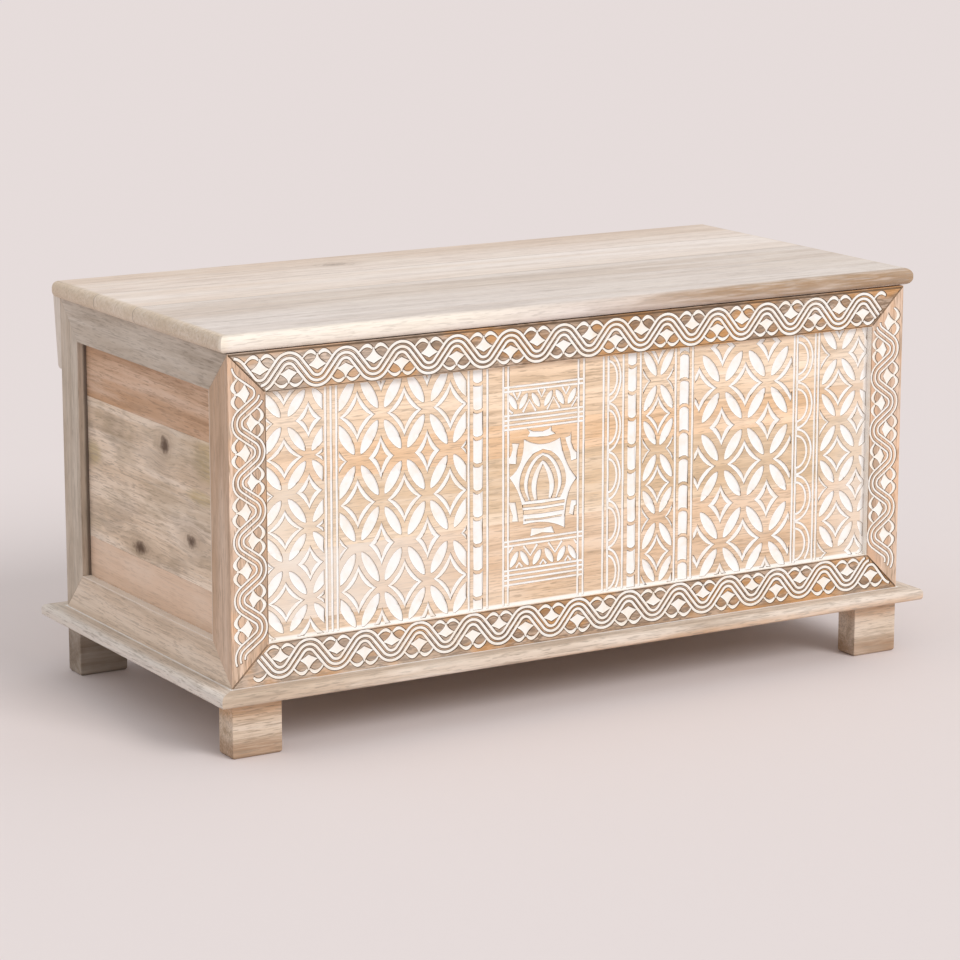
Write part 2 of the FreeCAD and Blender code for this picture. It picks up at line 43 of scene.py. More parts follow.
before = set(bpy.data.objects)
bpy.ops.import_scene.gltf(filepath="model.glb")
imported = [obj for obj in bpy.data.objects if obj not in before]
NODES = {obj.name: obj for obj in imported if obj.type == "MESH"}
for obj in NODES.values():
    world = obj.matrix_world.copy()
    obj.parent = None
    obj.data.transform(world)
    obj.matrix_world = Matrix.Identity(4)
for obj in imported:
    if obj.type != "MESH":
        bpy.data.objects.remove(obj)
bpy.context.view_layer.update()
MM = 0.001

# Carving is drawn in millimetres: x from the chest's middle, h above the lower edge of the walls.
RAIL_LOW, RAIL_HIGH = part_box("front_top_rail")
WALL_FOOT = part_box("front_bottom_rail")[0].z
FACE_Y = RAIL_LOW.y
WALL_INSIDE_Y = RAIL_HIGH.y
WALL_THICKNESS = (WALL_INSIDE_Y - FACE_Y) / MM
HALF_WALL = RAIL_HIGH.x / MM
WALL_HEIGHT = (RAIL_HIGH.z - WALL_FOOT) / MM
MEMBER_WIDTH = (RAIL_HIGH.z - RAIL_LOW.z) / MM
PANEL_BOARDS = ["front_panel_board_%d" % number for number in range(1, 6)]
PANEL_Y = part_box(PANEL_BOARDS[0])[0].y
PANEL_LEFT = -HALF_WALL + MEMBER_WIDTH
PANEL_RIGHT = HALF_WALL - MEMBER_WIDTH
PANEL_FOOT = MEMBER_WIDTH
PANEL_TOP = WALL_HEIGHT - MEMBER_WIDTH
TONGUE_THICKNESS = 6 * MM
SHOULDER = 0.5 * MM


def to_linear(red, green, blue):
    """Linear colour from the 0 to 255 values of a colour picker."""
    def channel(value):
        share = value / 255
        return share / 12.92 if share <= 0.04045 else ((share + 0.055) / 1.055) ** 2.4
    return (channel(red), channel(green), channel(blue))


def length_value(name, description, default):
    return bpy.props.FloatProperty(name=name, description=description, default=default, unit="LENGTH")


def angle_value(name, description, degrees):
    return bpy.props.FloatProperty(name=name, description=description, default=math.radians(degrees),
                                   subtype="ANGLE")


def colour_value(name, description, *levels):
    return bpy.props.FloatVectorProperty(name=name, description=description, size=3, subtype="COLOR",
                                         min=0.0, max=1.0, default=to_linear(*levels))


class ChestCarving(bpy.types.PropertyGroup):
    petal_depth: length_value("Petal depth", "Deepest part of a scooped petal", 0.0022)
    outline_depth: length_value("Outline depth", "Grooves round the diamonds, and the open fields", 0.0015)
    line_depth: length_value("Line depth", "Straight and wavy lines", 0.0007)
    line_width: length_value("Line width", "Straight lines and half circles of the panel", 0.0033)
    border_width: length_value("Border width", "Wavy lines of the rails", 0.0048)
    # Both lips are drawn in painted shade: the darkened material of the cut sides, standing in for the shadow
    # at the rims.
    panel_lip: length_value("Panel lip", "Bare wood round the panel's cuts", 0.0004)
    border_lip: length_value("Border lip", "Bare wood round the frame's cuts", 0.0008)
    wall_slope: length_value("Wall slope", "How far a cut narrows from its rim to its floor", 0.0005)
    unevenness: length_value("Unevenness", "How far the hand strays from the drawing", 0.0004)


class ChestTones(bpy.types.PropertyGroup):
    paint: colour_value("Paint", "White paint left in the cuts", 246, 244, 242)
    lime: colour_value("Lime", "Whitewash left on the wood", 236, 226, 215)
    panel: colour_value("Panel", "Tan land of the carved panel", 236, 206, 174)
    rail: colour_value("Rails", "Brown land of the carved rails", 194, 155, 116)
    stile: colour_value("Stiles", "Peach land of the carved stiles", 232, 194, 160)
    side: colour_value("Side frames", "Grey-brown frames of the plain walls", 204, 188, 174)
    lid: colour_value("Lid", "Beige lid boards", 232, 220, 211)
    base: colour_value("Base", "Tan base boards and feet", 214, 192, 170)
    inside: colour_value("Inside", "Bare wood inside the chest", 206, 176, 142)
    brass: colour_value("Brass", "Hinges and screws", 190, 160, 100)


class ChestStage(bpy.types.PropertyGroup):
    backdrop: colour_value("Backdrop", "Floor and surroundings", 230, 221, 220)
    camera_turn: angle_value("Camera turn", "To the left of the front", 30.8)
    camera_rise: angle_value("Camera rise", "Above the horizon", 12.3)
    camera_distance: length_value("Camera distance", "From the point looked at", 4.4)
    camera_lens: bpy.props.FloatProperty(name="Lens", description="Focal length", default=131.3,
                                         unit="CAMERA")
    look_x: length_value("Look x", "Point looked at, from the chest's middle", -0.009)
    look_z: length_value("Look z", "Point looked at, above the floor", 0.2353)


# Flat outlines
SHARPEST_LEAN = 0.35
NO_LENGTH = 1e-6
SAME_SPOT = 0.02
FEWEST_CORNERS = 5
BLUNTNESS = 0.66


def area(points):
    return sum(x0 * h1 - x1 * h0 for (x0, h0), (x1, h1) in zip(points, points[1:] + points[:1])) / 2


def is_worth_cutting(outline, least_area):
    return len(outline) >= FEWEST_CORNERS and abs(area(outline)) > least_area


def move_sides(points, distance):
    """Each corner moved so that its two sides shift inwards by a distance."""
    side = 1 if area(points) > 0 else -1
    moved = []
    for index, (x, h) in enumerate(points):
        before = points[index - 1]
        after = points[(index + 1) % len(points)]
        arriving = Vector((x - before[0], h - before[1])).normalized()
        leaving = Vector((after[0] - x, after[1] - h)).normalized()
        normal = Vector((-arriving.y - leaving.y, arriving.x + leaving.x)) * side
        if normal.length < NO_LENGTH:
            normal = Vector((-arriving.y, arriving.x)) * side
        normal.normalize()
        lean = max(SHARPEST_LEAN, normal.dot(Vector((-arriving.y, arriving.x)) * side))
        moved.append((x + normal.x * distance / lean, h + normal.y * distance / lean))
    return moved


def inset(points, distance):
    """The outline moved inwards, or outwards where the distance is negative, without crossing itself."""
    while True:
        moved = move_sides(points, distance)
        kept = []
        for index, point in enumerate(points):
            after = (index + 1) % len(points)
            was = Vector(points[after]) - Vector(point)
            now = Vector(moved[after]) - Vector(moved[index])
            if was.dot(now) > 0:
                kept.append(point)
        if len(kept) == len(points) or len(kept) < FEWEST_CORNERS:
            return moved
        points = kept


def clip(points, bounds):
    """The part of an outline inside a rectangle of left, right, foot and top."""
    left, right, foot, top = bounds
    for axis, limit, sign in ((0, left, 1), (0, right, -1), (1, foot, 1), (1, top, -1)):
        kept = []
        for index, here in enumerate(points):
            before = points[index - 1]
            room_here = (here[axis] - limit) * sign
            room_before = (before[axis] - limit) * sign
            if room_here * room_before < 0:
                share = room_before / (room_before - room_here)
                kept.append(tuple(a + (b - a) * share for a, b in zip(before, here)))
            if room_here >= 0:
                kept.append(here)
        points = kept
        if len(points) < 3:
            return []
    tidy = []
    for here in points:
        if not tidy or (Vector(here) - Vector(tidy[-1])).length > SAME_SPOT:
            tidy.append(here)
    return tidy


def is_inside(points, bounds):
    left, right, foot, top = bounds
    return all(left < x < right and foot < h < top for x, h in points)


def lens(spot, length, width, angle, steps=9):
    """A petal with blunt points, its long axis at an angle."""
    upper = []
    for index in range(steps + 1):
        share = -math.cos(math.pi * index / steps)
        upper.append((share * length / 2, width / 2 * (1 - share * share) ** BLUNTNESS))
    outline = upper + [(u, -v) for u, v in reversed(upper[1:-1])]
    turn_x, turn_h = math.cos(angle), math.sin(angle)
    return [(spot[0] + u * turn_x - v * turn_h, spot[1] + u * turn_h + v * turn_x) for u, v in outline]


def diamond(spot, half_x, half_h, hollow, steps=6):
    """A four-pointed diamond whose sides are hollow where the exponent is below 1."""
    outline = []
    for index in range(4 * steps):
        turn = math.pi / 2 * index / steps
        x = math.copysign(abs(math.cos(turn)) ** (2 / hollow), math.cos(turn))
        h = math.copysign(abs(math.sin(turn)) ** (2 / hollow), math.sin(turn))
        outline.append((spot[0] + half_x * x, spot[1] + half_h * h))
    return outline


def bow(start, middle, end, steps=7):
    """Points of a curve from start towards end that passes through its middle; the end is left out."""
    control = [2 * m - (a + b) / 2 for a, m, b in zip(start, middle, end)]
    points = []
    for index in range(steps):
        t = index / steps
        weights = ((1 - t) ** 2, 2 * t * (1 - t), t * t)
        points.append(tuple(sum(w * p for w, p in zip(weights, axis)) for axis in zip(start, control, end)))
    return points


def mirrored(points):
    return [(-u, v) for u, v in points]


def ribbon(path, width):
    """The outline of a line of even width along a path."""
    left = []
    right = []
    for index, here in enumerate(path):
        before = Vector(path[max(index - 1, 0)])
        after = Vector(path[min(index + 1, len(path) - 1)])
        along = (after - before).normalized()
        left.append((here[0] - along.y * width / 2, here[1] + along.x * width / 2))
        right.append((here[0] + along.y * width / 2, here[1] - along.x * width / 2))
    return left + right[::-1]


def find_inside(outline, spots):
    """Which spots lie inside an outline."""
    corners = numpy.array(outline)
    low = corners.min(axis=0)
    high = corners.max(axis=0)
    near = numpy.flatnonzero(((spots >= low) & (spots <= high)).all(axis=1))
    x, h = spots[near].T
    inside = numpy.zeros(len(near), dtype=bool)
    for (x0, h0), (x1, h1) in zip(corners, numpy.roll(corners, -1, axis=0)):
        if h0 != h1:
            spans = (h0 > h) != (h1 > h)
            inside ^= spans & (x < x0 + (h - h0) * (x1 - x0) / (h1 - h0))
    return near[inside]


# Reliefs: land is bare wood, floors are painted white, walls are the steep sides of the cuts, finished in
# painted shade
LAND, FLOOR, WALL = range(3)
# What an outline has to find inside it, and what it makes of that
MARKS = {"rim": (LAND, WALL), "side": (None, FLOOR), "brow": (FLOOR, WALL), "top": (None, LAND)}
MERGE_WITHIN = 1e-4
CREASE = math.radians(30)


class Relief:
    """Carved outlines on one flat face, and the triangles that they make of it."""

    def __init__(self, outline, lip, seams=()):
        self.lip = lip
        self.points = []
        self.depths = []
        self.edges = []
        self.marks = []
        self.add_loop(outline, 0.0)
        for start, end in seams:
            self.add_path([start, end], 0.0)

    def add_loop(self, points, depth):
        self.add_path(points, depth)
        self.edges.append((len(self.points) - 1, len(self.points) - len(points)))

    def add_path(self, points, depth):
        first = len(self.points)
        self.points += points
        self.depths += [depth] * len(points)
        self.edges += [(first + index, first + index + 1) for index in range(len(points) - 1)]

    def cut(self, rim, slope, depth, ridge=None, ridge_depth=0.0, lip_share=1.0):
        """Sink an outline to a depth: a dark lip of painted shade, then white-painted sides and floor.

        A ridge is a line along the floor that lies deeper."""
        lip = self.lip * lip_share
        side = inset(rim, lip)
        self.add_loop(rim, 0.0)
        self.add_loop(side, lip)
        self.add_loop(inset(rim, lip + slope), depth)
        self.marks += [("rim", rim), ("side", side)]
        if ridge:
            self.add_path(ridge, ridge_depth)

    def keep(self, top, slope, depth):
        """Leave an island standing in an earlier cut."""
        brow = inset(top, -self.lip)
        self.add_loop(top, 0.0)
        self.add_loop(brow, self.lip)
        self.add_loop(inset(top, -self.lip - slope), depth)
        self.marks += [("brow", brow), ("top", top)]

    def score(self, path, width, depth):
        """A knife line, left without white paint, its rim in the painted shade of the cut sides."""
        rim = ribbon(path, width)
        self.add_loop(rim, 0.0)
        self.add_path(path, depth)
        self.marks.append(("rim", rim))

    def find_levels(self, points, faces):
        """Whether each triangle is land, wall or floor, by the last outline drawn round its middle."""
        flat = numpy.array([tuple(point) for point in points])
        middles = flat[numpy.array([list(face) for face in faces])].mean(axis=1)
        levels = numpy.full(len(faces), LAND)
        for mark, outline in self.marks:
            found, made = MARKS[mark]
            inside = find_inside(outline, middles)
            if found is not None:
                inside = inside[levels[inside] == found]
            levels[inside] = made
        return levels

    def triangles(self):
        """Corners as x, h and depth, and faces as three corners and a level."""
        flat = [Vector(point) for point in self.points]
        points, _, faces, sources, _, _ = delaunay_2d_cdt(flat, self.edges, [], 0, MERGE_WITHIN, True)
        levels = [int(level) for level in self.find_levels(points, faces)]
        touching = [set() for _ in points]
        around = [set() for _ in points]
        for face, level in zip(faces, levels):
            for corner in face:
                touching[corner].add(level)
                around[corner].update(face)
        known = []
        for index, source in enumerate(sources):
            drawn = max((self.depths[item] for item in source), default=0.0)
            known.append(0.0 if LAND in touching[index] else drawn or None)
        corners = []
        for index, (point, depth) in enumerate(zip(points, known)):
            if depth is None:
                nearby = [known[item] for item in around[index] if known[item] is not None]
                deepest = max(nearby, default=0.0)
                depth = deepest if FLOOR in touching[index] else deepest / 2
            corners.append((point.x, point.y, depth))
        return corners, list(zip(faces, levels))


class CarvedMesh:
    """Gathers the triangles of reliefs into one mesh with shared corners."""

    def __init__(self, face_y):
        self.face_y = face_y
        self.index = {}
        self.spots = []
        self.faces = []
        self.levels = []

    def corner(self, x, h, depth):
        key = (round(x, 2), round(h, 2), round(depth, 2))
        if key not in self.index:
            self.index[key] = len(self.spots)
            self.spots.append((x * MM, self.face_y + depth * MM, WALL_FOOT + h * MM))
        return self.index[key]

    def add_face(self, corners, level=LAND):
        face = [self.corner(*corner) for corner in corners]
        if len(set(face)) == len(face):
            self.faces.append(face)
            self.levels.append(level)

    def solid(self, name):
        mesh = bpy.data.meshes.new(name)
        mesh.from_pydata(self.spots, [], self.faces)
        mesh.polygons.foreach_set("material_index", self.levels)
        return mesh


def face_outwards(solid, mesh):
    """Turn the faces of an edited solid outwards and put it back into its mesh."""
    bmesh.ops.recalc_face_normals(solid, faces=solid.faces)
    solid.to_mesh(mesh)
    solid.free()


def finish_mesh(mesh, name, materials):
    """Make an object with smooth scoops and crisp rims."""
    for material in materials:
        mesh.materials.append(material)
    mesh.polygons.foreach_set("use_smooth", [True] * len(mesh.polygons))
    mesh.set_sharp_from_angle(angle=CREASE)
    piece = bpy.data.objects.new(name, mesh)
    bpy.context.scene.collection.objects.link(piece)
    return piece


# The carved panel: columns of lattice, reeds and scallops between upright lines, round a cartouche
class PanelCarver:
    """Draws the panel's columns, each on a strip of its own, in millimetres."""
    MARGIN = 1.0
    PETAL_LENGTHS = (0.97, 1.03)
    PETAL_WIDTHS = (0.95, 1.05)
    PETAL_SIZE = (0.735, 0.235)
    PETAL_SLOPE = 1.6
    PETAL_FLOOR = 0.72
    LEAST_PETAL = 0.2
    RIDGE_REACH = 0.28
    RIDGE_ROOM = 2
    RIM_HOLLOW = 0.80
    ISLAND_HOLLOW = 0.74
    HALF_ISLAND = 0.74
    LEAST_DIAMOND = 30
    LEAST_ISLAND = 6
    LARGE_DIAMOND = ((0.78, 0.59), (0.55, 0.394))
    SMALL_DIAMOND = ((0.57, 0.52), (0.285, 0.318))
    LINE_LIP = 0.6
    LINE_STRAY = 0.15
    COLLAR = 3.6
    BAR_SAG = 4.4
    LEAST_BAR = 40
    SCALLOP_ROOM = 1.2
    TOOTH = (22.2, 8.8)
    TOOTH_LEAN = 1.03
    TOOTH_ROOM = 12
    VEE_WIDTH = 3.5
    RULE_WIDTH = 3.0
    EGG_BULGE = 0.35
    MIDDLE = -52.7
    BORDER = (-54.7, -48.1, 50.1, 57.7)
    INSIDE_BORDER = (-47.5, 49.5)

    def __init__(self, carving):
        self.dice = random.Random(7)
        self.petal = carving.petal_depth / MM
        self.outline = carving.outline_depth / MM
        self.line = carving.line_depth / MM
        self.width = carving.line_width / MM
        self.lip = carving.panel_lip / MM
        self.slope = carving.wall_slope / MM
        self.stray = carving.unevenness / MM
        self.foot = PANEL_FOOT + self.MARGIN
        self.top = PANEL_TOP - self.MARGIN

    def nudge(self, spot):
        return tuple(value + self.dice.uniform(-self.stray, self.stray) for value in spot)

    def draw_petal(self, relief, spot, length, width, angle, bounds):
        spot = self.nudge(spot)
        length *= self.dice.uniform(*self.PETAL_LENGTHS)
        width *= self.dice.uniform(*self.PETAL_WIDTHS)
        whole = lens(spot, length, width, angle)
        rim = clip(whole, bounds)
        if not is_worth_cutting(rim, self.LEAST_PETAL * abs(area(whole))):
            return
        reach = [part * length * self.RIDGE_REACH for part in (math.cos(angle), math.sin(angle))]
        ridge = [(spot[0] + reach[0] * k, spot[1] + reach[1] * k) for k in (-1, -0.5, 0, 0.5, 1)]
        safe = [limit + self.RIDGE_ROOM * sign for limit, sign in zip(bounds, (1, -1, 1, -1))]
        if not is_inside(ridge, safe):
            ridge = None
        relief.cut(rim, self.slope * self.PETAL_SLOPE, self.petal * self.PETAL_FLOOR, ridge, self.petal)

    def draw_diamond(self, relief, spot, outer, inner, bounds):
        spot = self.nudge(spot)
        rim = clip(diamond(spot, *outer, self.RIM_HOLLOW), bounds)
        if not is_worth_cutting(rim, self.LEAST_DIAMOND):
            return
        relief.cut(rim, self.slope, self.outline)
        if not bounds[0] < spot[0] < bounds[1]:
            inner = [half * self.HALF_ISLAND for half in outer]
        island = clip(diamond(spot, *inner, self.ISLAND_HOLLOW), bounds)
        if is_worth_cutting(island, self.LEAST_ISLAND):
            relief.keep(island, self.slope, self.outline)

    def draw_lattice(self, relief, left, right, origin, step):
        """Diamonds on every other site, with a petal across each cell between them."""
        bounds = (max(left, PANEL_LEFT) + self.MARGIN, min(right, PANEL_RIGHT) - self.MARGIN,
                  self.foot, self.top)
        diagonal = math.hypot(*step)
        lean = math.atan2(step[1], step[0])
        columns, rows = [range(math.floor((bounds[2 * axis] - origin[axis]) / step[axis]) - 1,
                               math.ceil((bounds[2 * axis + 1] - origin[axis]) / step[axis]) + 2)
                         for axis in (0, 1)]
        for column in columns:
            for row in rows:
                x = origin[0] + column * step[0]
                h = origin[1] + row * step[1]
                rising = (column + row) % 2 == 1
                middle = (x + step[0] / 2, h + step[1] / 2)
                size = [diagonal * share for share in self.PETAL_SIZE]
                self.draw_petal(relief, middle, *size, lean if rising else -lean, bounds)
                if not rising:
                    shares = self.LARGE_DIAMOND if row % 2 == 0 else self.SMALL_DIAMOND
                    outer, inner = [(step[0] * across, step[1] * up) for across, up in shares]
                    self.draw_diamond(relief, (x, h), outer, inner, bounds)

    def draw_path(self, relief, path, width=None):
        relief.cut(ribbon(path, width or self.width), self.slope, self.line, lip_share=self.LINE_LIP)

    def draw_uprights(self, relief, left, right, *places):
        for x in places:
            path = []
            for index in range(7):
                h = self.foot + (self.top - self.foot) * index / 6
                path.append((x + self.dice.uniform(-self.LINE_STRAY, self.LINE_STRAY), h))
            self.draw_path(relief, path)

    def draw_reed(self, relief, left, right, bar_left, bar_right, first_collar, pitch, round_foot):
        """A column of long bars with one end round and one flat, and a collar left between them."""
        sag = self.BAR_SAG if round_foot else -self.BAR_SAG
        middle = (bar_left + bar_right) / 2
        half = (bar_right - bar_left) / 2
        bottom = first_collar - pitch
        bounds = (bar_left - self.MARGIN, bar_right + self.MARGIN, self.foot, self.top)
        arc = [(math.cos(math.pi * k / 8) * half, math.sin(math.pi * k / 8) * sag) for k in range(9)]
        while bottom < self.top:
            low = bottom + (self.COLLAR + sag) / 2
            high = bottom + pitch - (self.COLLAR - sag) / 2
            outline = [(middle + x, high - h) for x, h in arc] + [(middle - x, low - h) for x, h in arc]
            rim = clip([self.nudge(point) for point in outline], bounds)
            if is_worth_cutting(rim, self.LEAST_BAR):
                relief.cut(rim, self.slope, self.outline)
            bottom += pitch

    def draw_scallops(self, relief, left, right, places, boundary, pitch):
        """Upright lines, and on the last of them half circles in pairs, one inside the other."""
        self.draw_uprights(relief, left, right, *places)
        foot = places[-1]
        start = boundary - pitch * 4
        for number in range(9):
            middle = start + pitch * (number + 0.5)
            for reach, share in ((right - foot - 2.2, 0.485), ((right - foot) * 0.64, 0.345)):
                path = []
                for index in range(17):
                    turn = math.pi * (index / 16 - 0.5)
                    spot = (foot + reach * math.cos(turn), middle + pitch * share * math.sin(turn))
                    if self.foot + self.SCALLOP_ROOM < spot[1] < self.top - self.SCALLOP_ROOM:
                        path.append(spot)
                if len(path) > 3:
                    self.draw_path(relief, path)

    def about_middle(self, points):
        """Points of the cartouche, which are drawn from its own middle."""
        return [(self.MIDDLE + x, h) for x, h in points]

    def draw_teeth(self, relief, centres, level, angle, vees):
        """A row of petals that lean to and fro, with small Vs between them."""
        left, right = [self.MIDDLE + x for x in self.INSIDE_BORDER]
        bounds = (left, right, level - self.TOOTH_ROOM, level + self.TOOTH_ROOM)
        for x in centres:
            self.draw_petal(relief, (self.MIDDLE + x, level), *self.TOOTH, angle, bounds)
            angle = -angle
        for places, tip, half, ends in vees:
            for x in places:
                path = [(x - half, ends), (x, tip), (x + half, ends)]
                self.draw_path(relief, self.about_middle(path), self.VEE_WIDTH)

    def egg(self, half, base, apex, waist, point):
        """A bud's outline: flat base, widest a third of the way up, and a round or pointed top."""
        middle = self.MIDDLE + 0.6
        profile = []
        for index in range(15):
            rise = (index / 14) ** 0.8
            if rise < self.EGG_BULGE:
                share = waist + (1 - waist) * math.sin(math.pi / 2 * rise / self.EGG_BULGE)
            else:
                share = (1 - ((rise - self.EGG_BULGE) / (1 - self.EGG_BULGE)) ** 1.8) ** point
            profile.append((half * share, base + (apex - base) * rise))
        return [(middle + w, h) for w, h in profile] + [(middle - w, h) for w, h in profile[-2::-1]]

    def draw_cartouche(self, relief, left, right):
        self.draw_uprights(relief, left, right, *[self.MIDDLE + x for x in self.BORDER])
        for h in (314.6, 309.4, 280.4, 274.8, 269.0, 263.6, 127.2, 121.8, 91.6, 86.0, 80.0, 74.0):
            path = [(self.BORDER[0], h - 0.3), (0.0, h + self.dice.uniform(-0.3, 0.3)),
                    (self.BORDER[-1], h + 0.4)]
            self.draw_path(relief, self.about_middle(path), self.RULE_WIDTH)
        for path in ([(-47.6, 287.4), (-41.3, 282.4)], [(48.6, 294.0), (40.4, 282.4)],
                     [(-47.0, 113.2), (-41.1, 119.8)], [(44.7, 119.8), (48.8, 113.9)]):
            self.draw_path(relief, self.about_middle(path), self.RULE_WIDTH)
        upper = [((-35.9, -1.6), 298.8, 5.2, 308.0), ((32.6,), 299.4, 5.2, 308.0),
                 ((-18.7, 15.2), 297.0, 9.2, 282.4)]
        self.draw_teeth(relief, (-42.0, -26.8, -10.0, 7.4, 24.4, 40.8), 296.2, -self.TOOTH_LEAN, upper)
        lower = [((-16.7, 18.2), 106.8, 9.8, 119.8), ((-32.4, 1.4, 36.4), 99.6, 4.6, 93.8)]
        self.draw_teeth(relief, (-39.8, -25.2, -7.2, 9.4, 27.0, 42.6), 104.0, self.TOOTH_LEAN, lower)
        self.draw_field(relief)
        self.draw_brackets(relief)

    def draw_field(self, relief):
        """A six-pointed sunk field that holds a bud under two arches, on a stand of bars."""
        tips = [(-26.4, 250.2), (24.9, 246.8), (49.0, 194.6), (31.8, 135.0), (-27.2, 145.4), (-46.6, 205.2)]
        waists = [(-1.0, 241.6), (33.8, 216.8), (35.8, 173.6), (4.6, 145.0), (-30.6, 176.0), (-31.2, 221.6)]
        outline = []
        for index, waist in enumerate(waists):
            outline += bow(tips[index], waist, tips[(index + 1) % 6])
        relief.cut(self.about_middle(outline), self.slope, self.outline)
        base = 173.8
        for work, half, apex, waist, point in ((relief.keep, 32.4, 234.8, 0.75, 0.56),
                                               (relief.cut, 26.8, 231.0, 0.74, 0.60),
                                               (relief.keep, 21.2, 227.0, 0.81, 0.66),
                                               (relief.cut, 16.4, 222.0, 0.74, 0.80),
                                               (relief.keep, 8.8, 216.4, 0.86, 1.0)):
            work(self.egg(half, base, apex, waist, point), self.slope * 0.7, self.outline)
        for left, right, h, half in ((-27.4, 31.0, 168.2, 1.6), (-26.6, 29.8, 160.2, 2.5),
                                     (-24.0, 27.0, 151.0, 0.7)):
            path = [(left, h), (left + 3, h), (0.0, h - 0.8), (right - 3, h), (right, h)]
            relief.keep(ribbon(self.about_middle(path), half * 2), self.slope * 0.6, self.outline)

    def draw_brackets(self, relief):
        """Small horned cuts between the field and its border."""
        shapes = [
            [(-22.0, 262.4), (-12.8, 258.2), (0.2, 257.0), (8.2, 259.0), (12.2, 262.2), (12.7, 256.5),
             (18.6, 252.0), (7.2, 250.0), (-8.8, 250.6), (-21.2, 252.0), (-18.3, 257.0)],
            [(-43.1, 246.8), (-32.5, 245.3), (-35.0, 237.5), (-35.9, 228.0), (-36.8, 220.4), (-47.1, 221.4),
             (-47.4, 228.0), (-44.5, 231.8), (-42.0, 239.4)],
            [(40.1, 253.0), (40.5, 239.4), (44.8, 229.9), (48.6, 226.1), (48.6, 218.1), (40.1, 216.2),
             (38.2, 228.0), (33.4, 239.4), (31.5, 246.0), (38.2, 247.6)],
            [(-47.1, 175.2), (-37.8, 174.3), (-35.5, 163.4), (-33.4, 150.1), (-42.8, 150.7), (-41.6, 157.7),
             (-44.5, 165.3)],
            [(41.0, 168.6), (48.8, 167.6), (48.8, 162.1), (45.8, 160.6), (44.3, 148.8), (37.4, 151.8),
             (39.1, 161.5)],
            [(-15.4, 140.2), (0.2, 138.6), (13.5, 139.5), (17.5, 130.3), (0.2, 132.8), (-17.1, 129.8)],
        ]
        for outline in shapes:
            relief.cut(self.about_middle(outline), self.slope, self.outline)

    def columns(self):
        """Right edge of each column, what is carved in it and its measures, from left to right."""
        return [
            (-348.4, self.draw_lattice, (-399.6, 92.2), (31.6, 42.2)),
            (-330.0, self.draw_uprights, -346.2, -339.2, -332.0),
            (-157.2, self.draw_lattice, (-304.1, 94.2), (31.0, 51.6)),
            (-153.0, self.draw_uprights, -155.2),
            (-132.0, self.draw_reed, -149.2, -135.8, 64.8, 32.4, True),
            (-112.0, self.draw_uprights, -129.6),
            (8.0, self.draw_cartouche),
            (59.8, self.draw_scallops, (33.2, 40.0), 162.1, 60.0),
            (63.4, self.draw_uprights, 61.6),
            (83.4, self.draw_reed, 68.2, 80.6, 66.1, 32.3, True),
            (88.6, self.draw_uprights, 86.4),
            (135.8, self.draw_lattice, (112.3, 88.4), (24.5, 42.9)),
            (139.4, self.draw_uprights, 137.6),
            (160.4, self.draw_reed, 143.2, 157.2, 70.9, 32.5, False),
            (164.4, self.draw_uprights, 162.4),
            (312.6, self.draw_lattice, (172.0, 88.4), (34.4, 49.2)),
            (344.8, self.draw_scallops, (314.6, 319.2), 161.8, 59.3),
            (354.0, self.draw_uprights, 346.8, 352.0),
            (None, self.draw_lattice, (383.4, 98.2), (29.8, 42.3)),
        ]


def carve_panel_boards(carving):
    """One carved face for each board of the front panel."""
    low = [(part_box(node)[0].z - WALL_FOOT) / MM for node in PANEL_BOARDS]
    high = [(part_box(node)[1].z - WALL_FOOT) / MM for node in PANEL_BOARDS]
    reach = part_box(PANEL_BOARDS[0])[1].x / MM
    seams = high[:-1]
    boards = [CarvedMesh(PANEL_Y) for _ in PANEL_BOARDS]
    carver = PanelCarver(carving)
    left = -reach
    for right, draw, *measures in carver.columns():
        right = reach if right is None else right
        outline = [(left, low[0]), (right, low[0]), (right, high[-1]), (left, high[-1])]
        relief = Relief(outline, carver.lip, [((left, seam), (right, seam)) for seam in seams])
        draw(relief, left, right, *measures)
        corners, faces = relief.triangles()
        for face, level in faces:
            height = sum(corners[index][1] for index in face) / 3
            board = sum(height > seam for seam in seams)
            boards[board].add_face([corners[index] for index in face], level)
        left = right
    return boards


def close_board(mesh, node):
    """Give a carved face its thickness: a tongue all round, and the thick middle behind it."""
    low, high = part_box(node)
    tongue_y = PANEL_Y + TONGUE_THICKNESS
    solid = bmesh.new()
    solid.from_mesh(mesh)
    rim = [edge for edge in solid.edges if edge.is_boundary]
    made = bmesh.ops.extrude_edge_only(solid, edges=rim)["geom"]
    fresh = {item for item in made if isinstance(item, bmesh.types.BMVert)}
    for vert in fresh:
        vert.co.y = tongue_y
    back = [item for item in made if isinstance(item, bmesh.types.BMEdge) and set(item.verts) <= fresh]
    bmesh.ops.edgeloop_fill(solid, edges=back)
    right = PANEL_RIGHT * MM - SHOULDER
    foot = max(low.z, WALL_FOOT + PANEL_FOOT * MM + SHOULDER)
    top = min(high.z, WALL_FOOT + PANEL_TOP * MM - SHOULDER)
    for vert in bmesh.ops.create_cube(solid, size=1.0)["verts"]:
        vert.co = Vector((math.copysign(right, vert.co.x),
                          WALL_INSIDE_Y if vert.co.y > 0 else tongue_y,
                          top if vert.co.z > 0 else foot))
    face_outwards(solid, mesh)


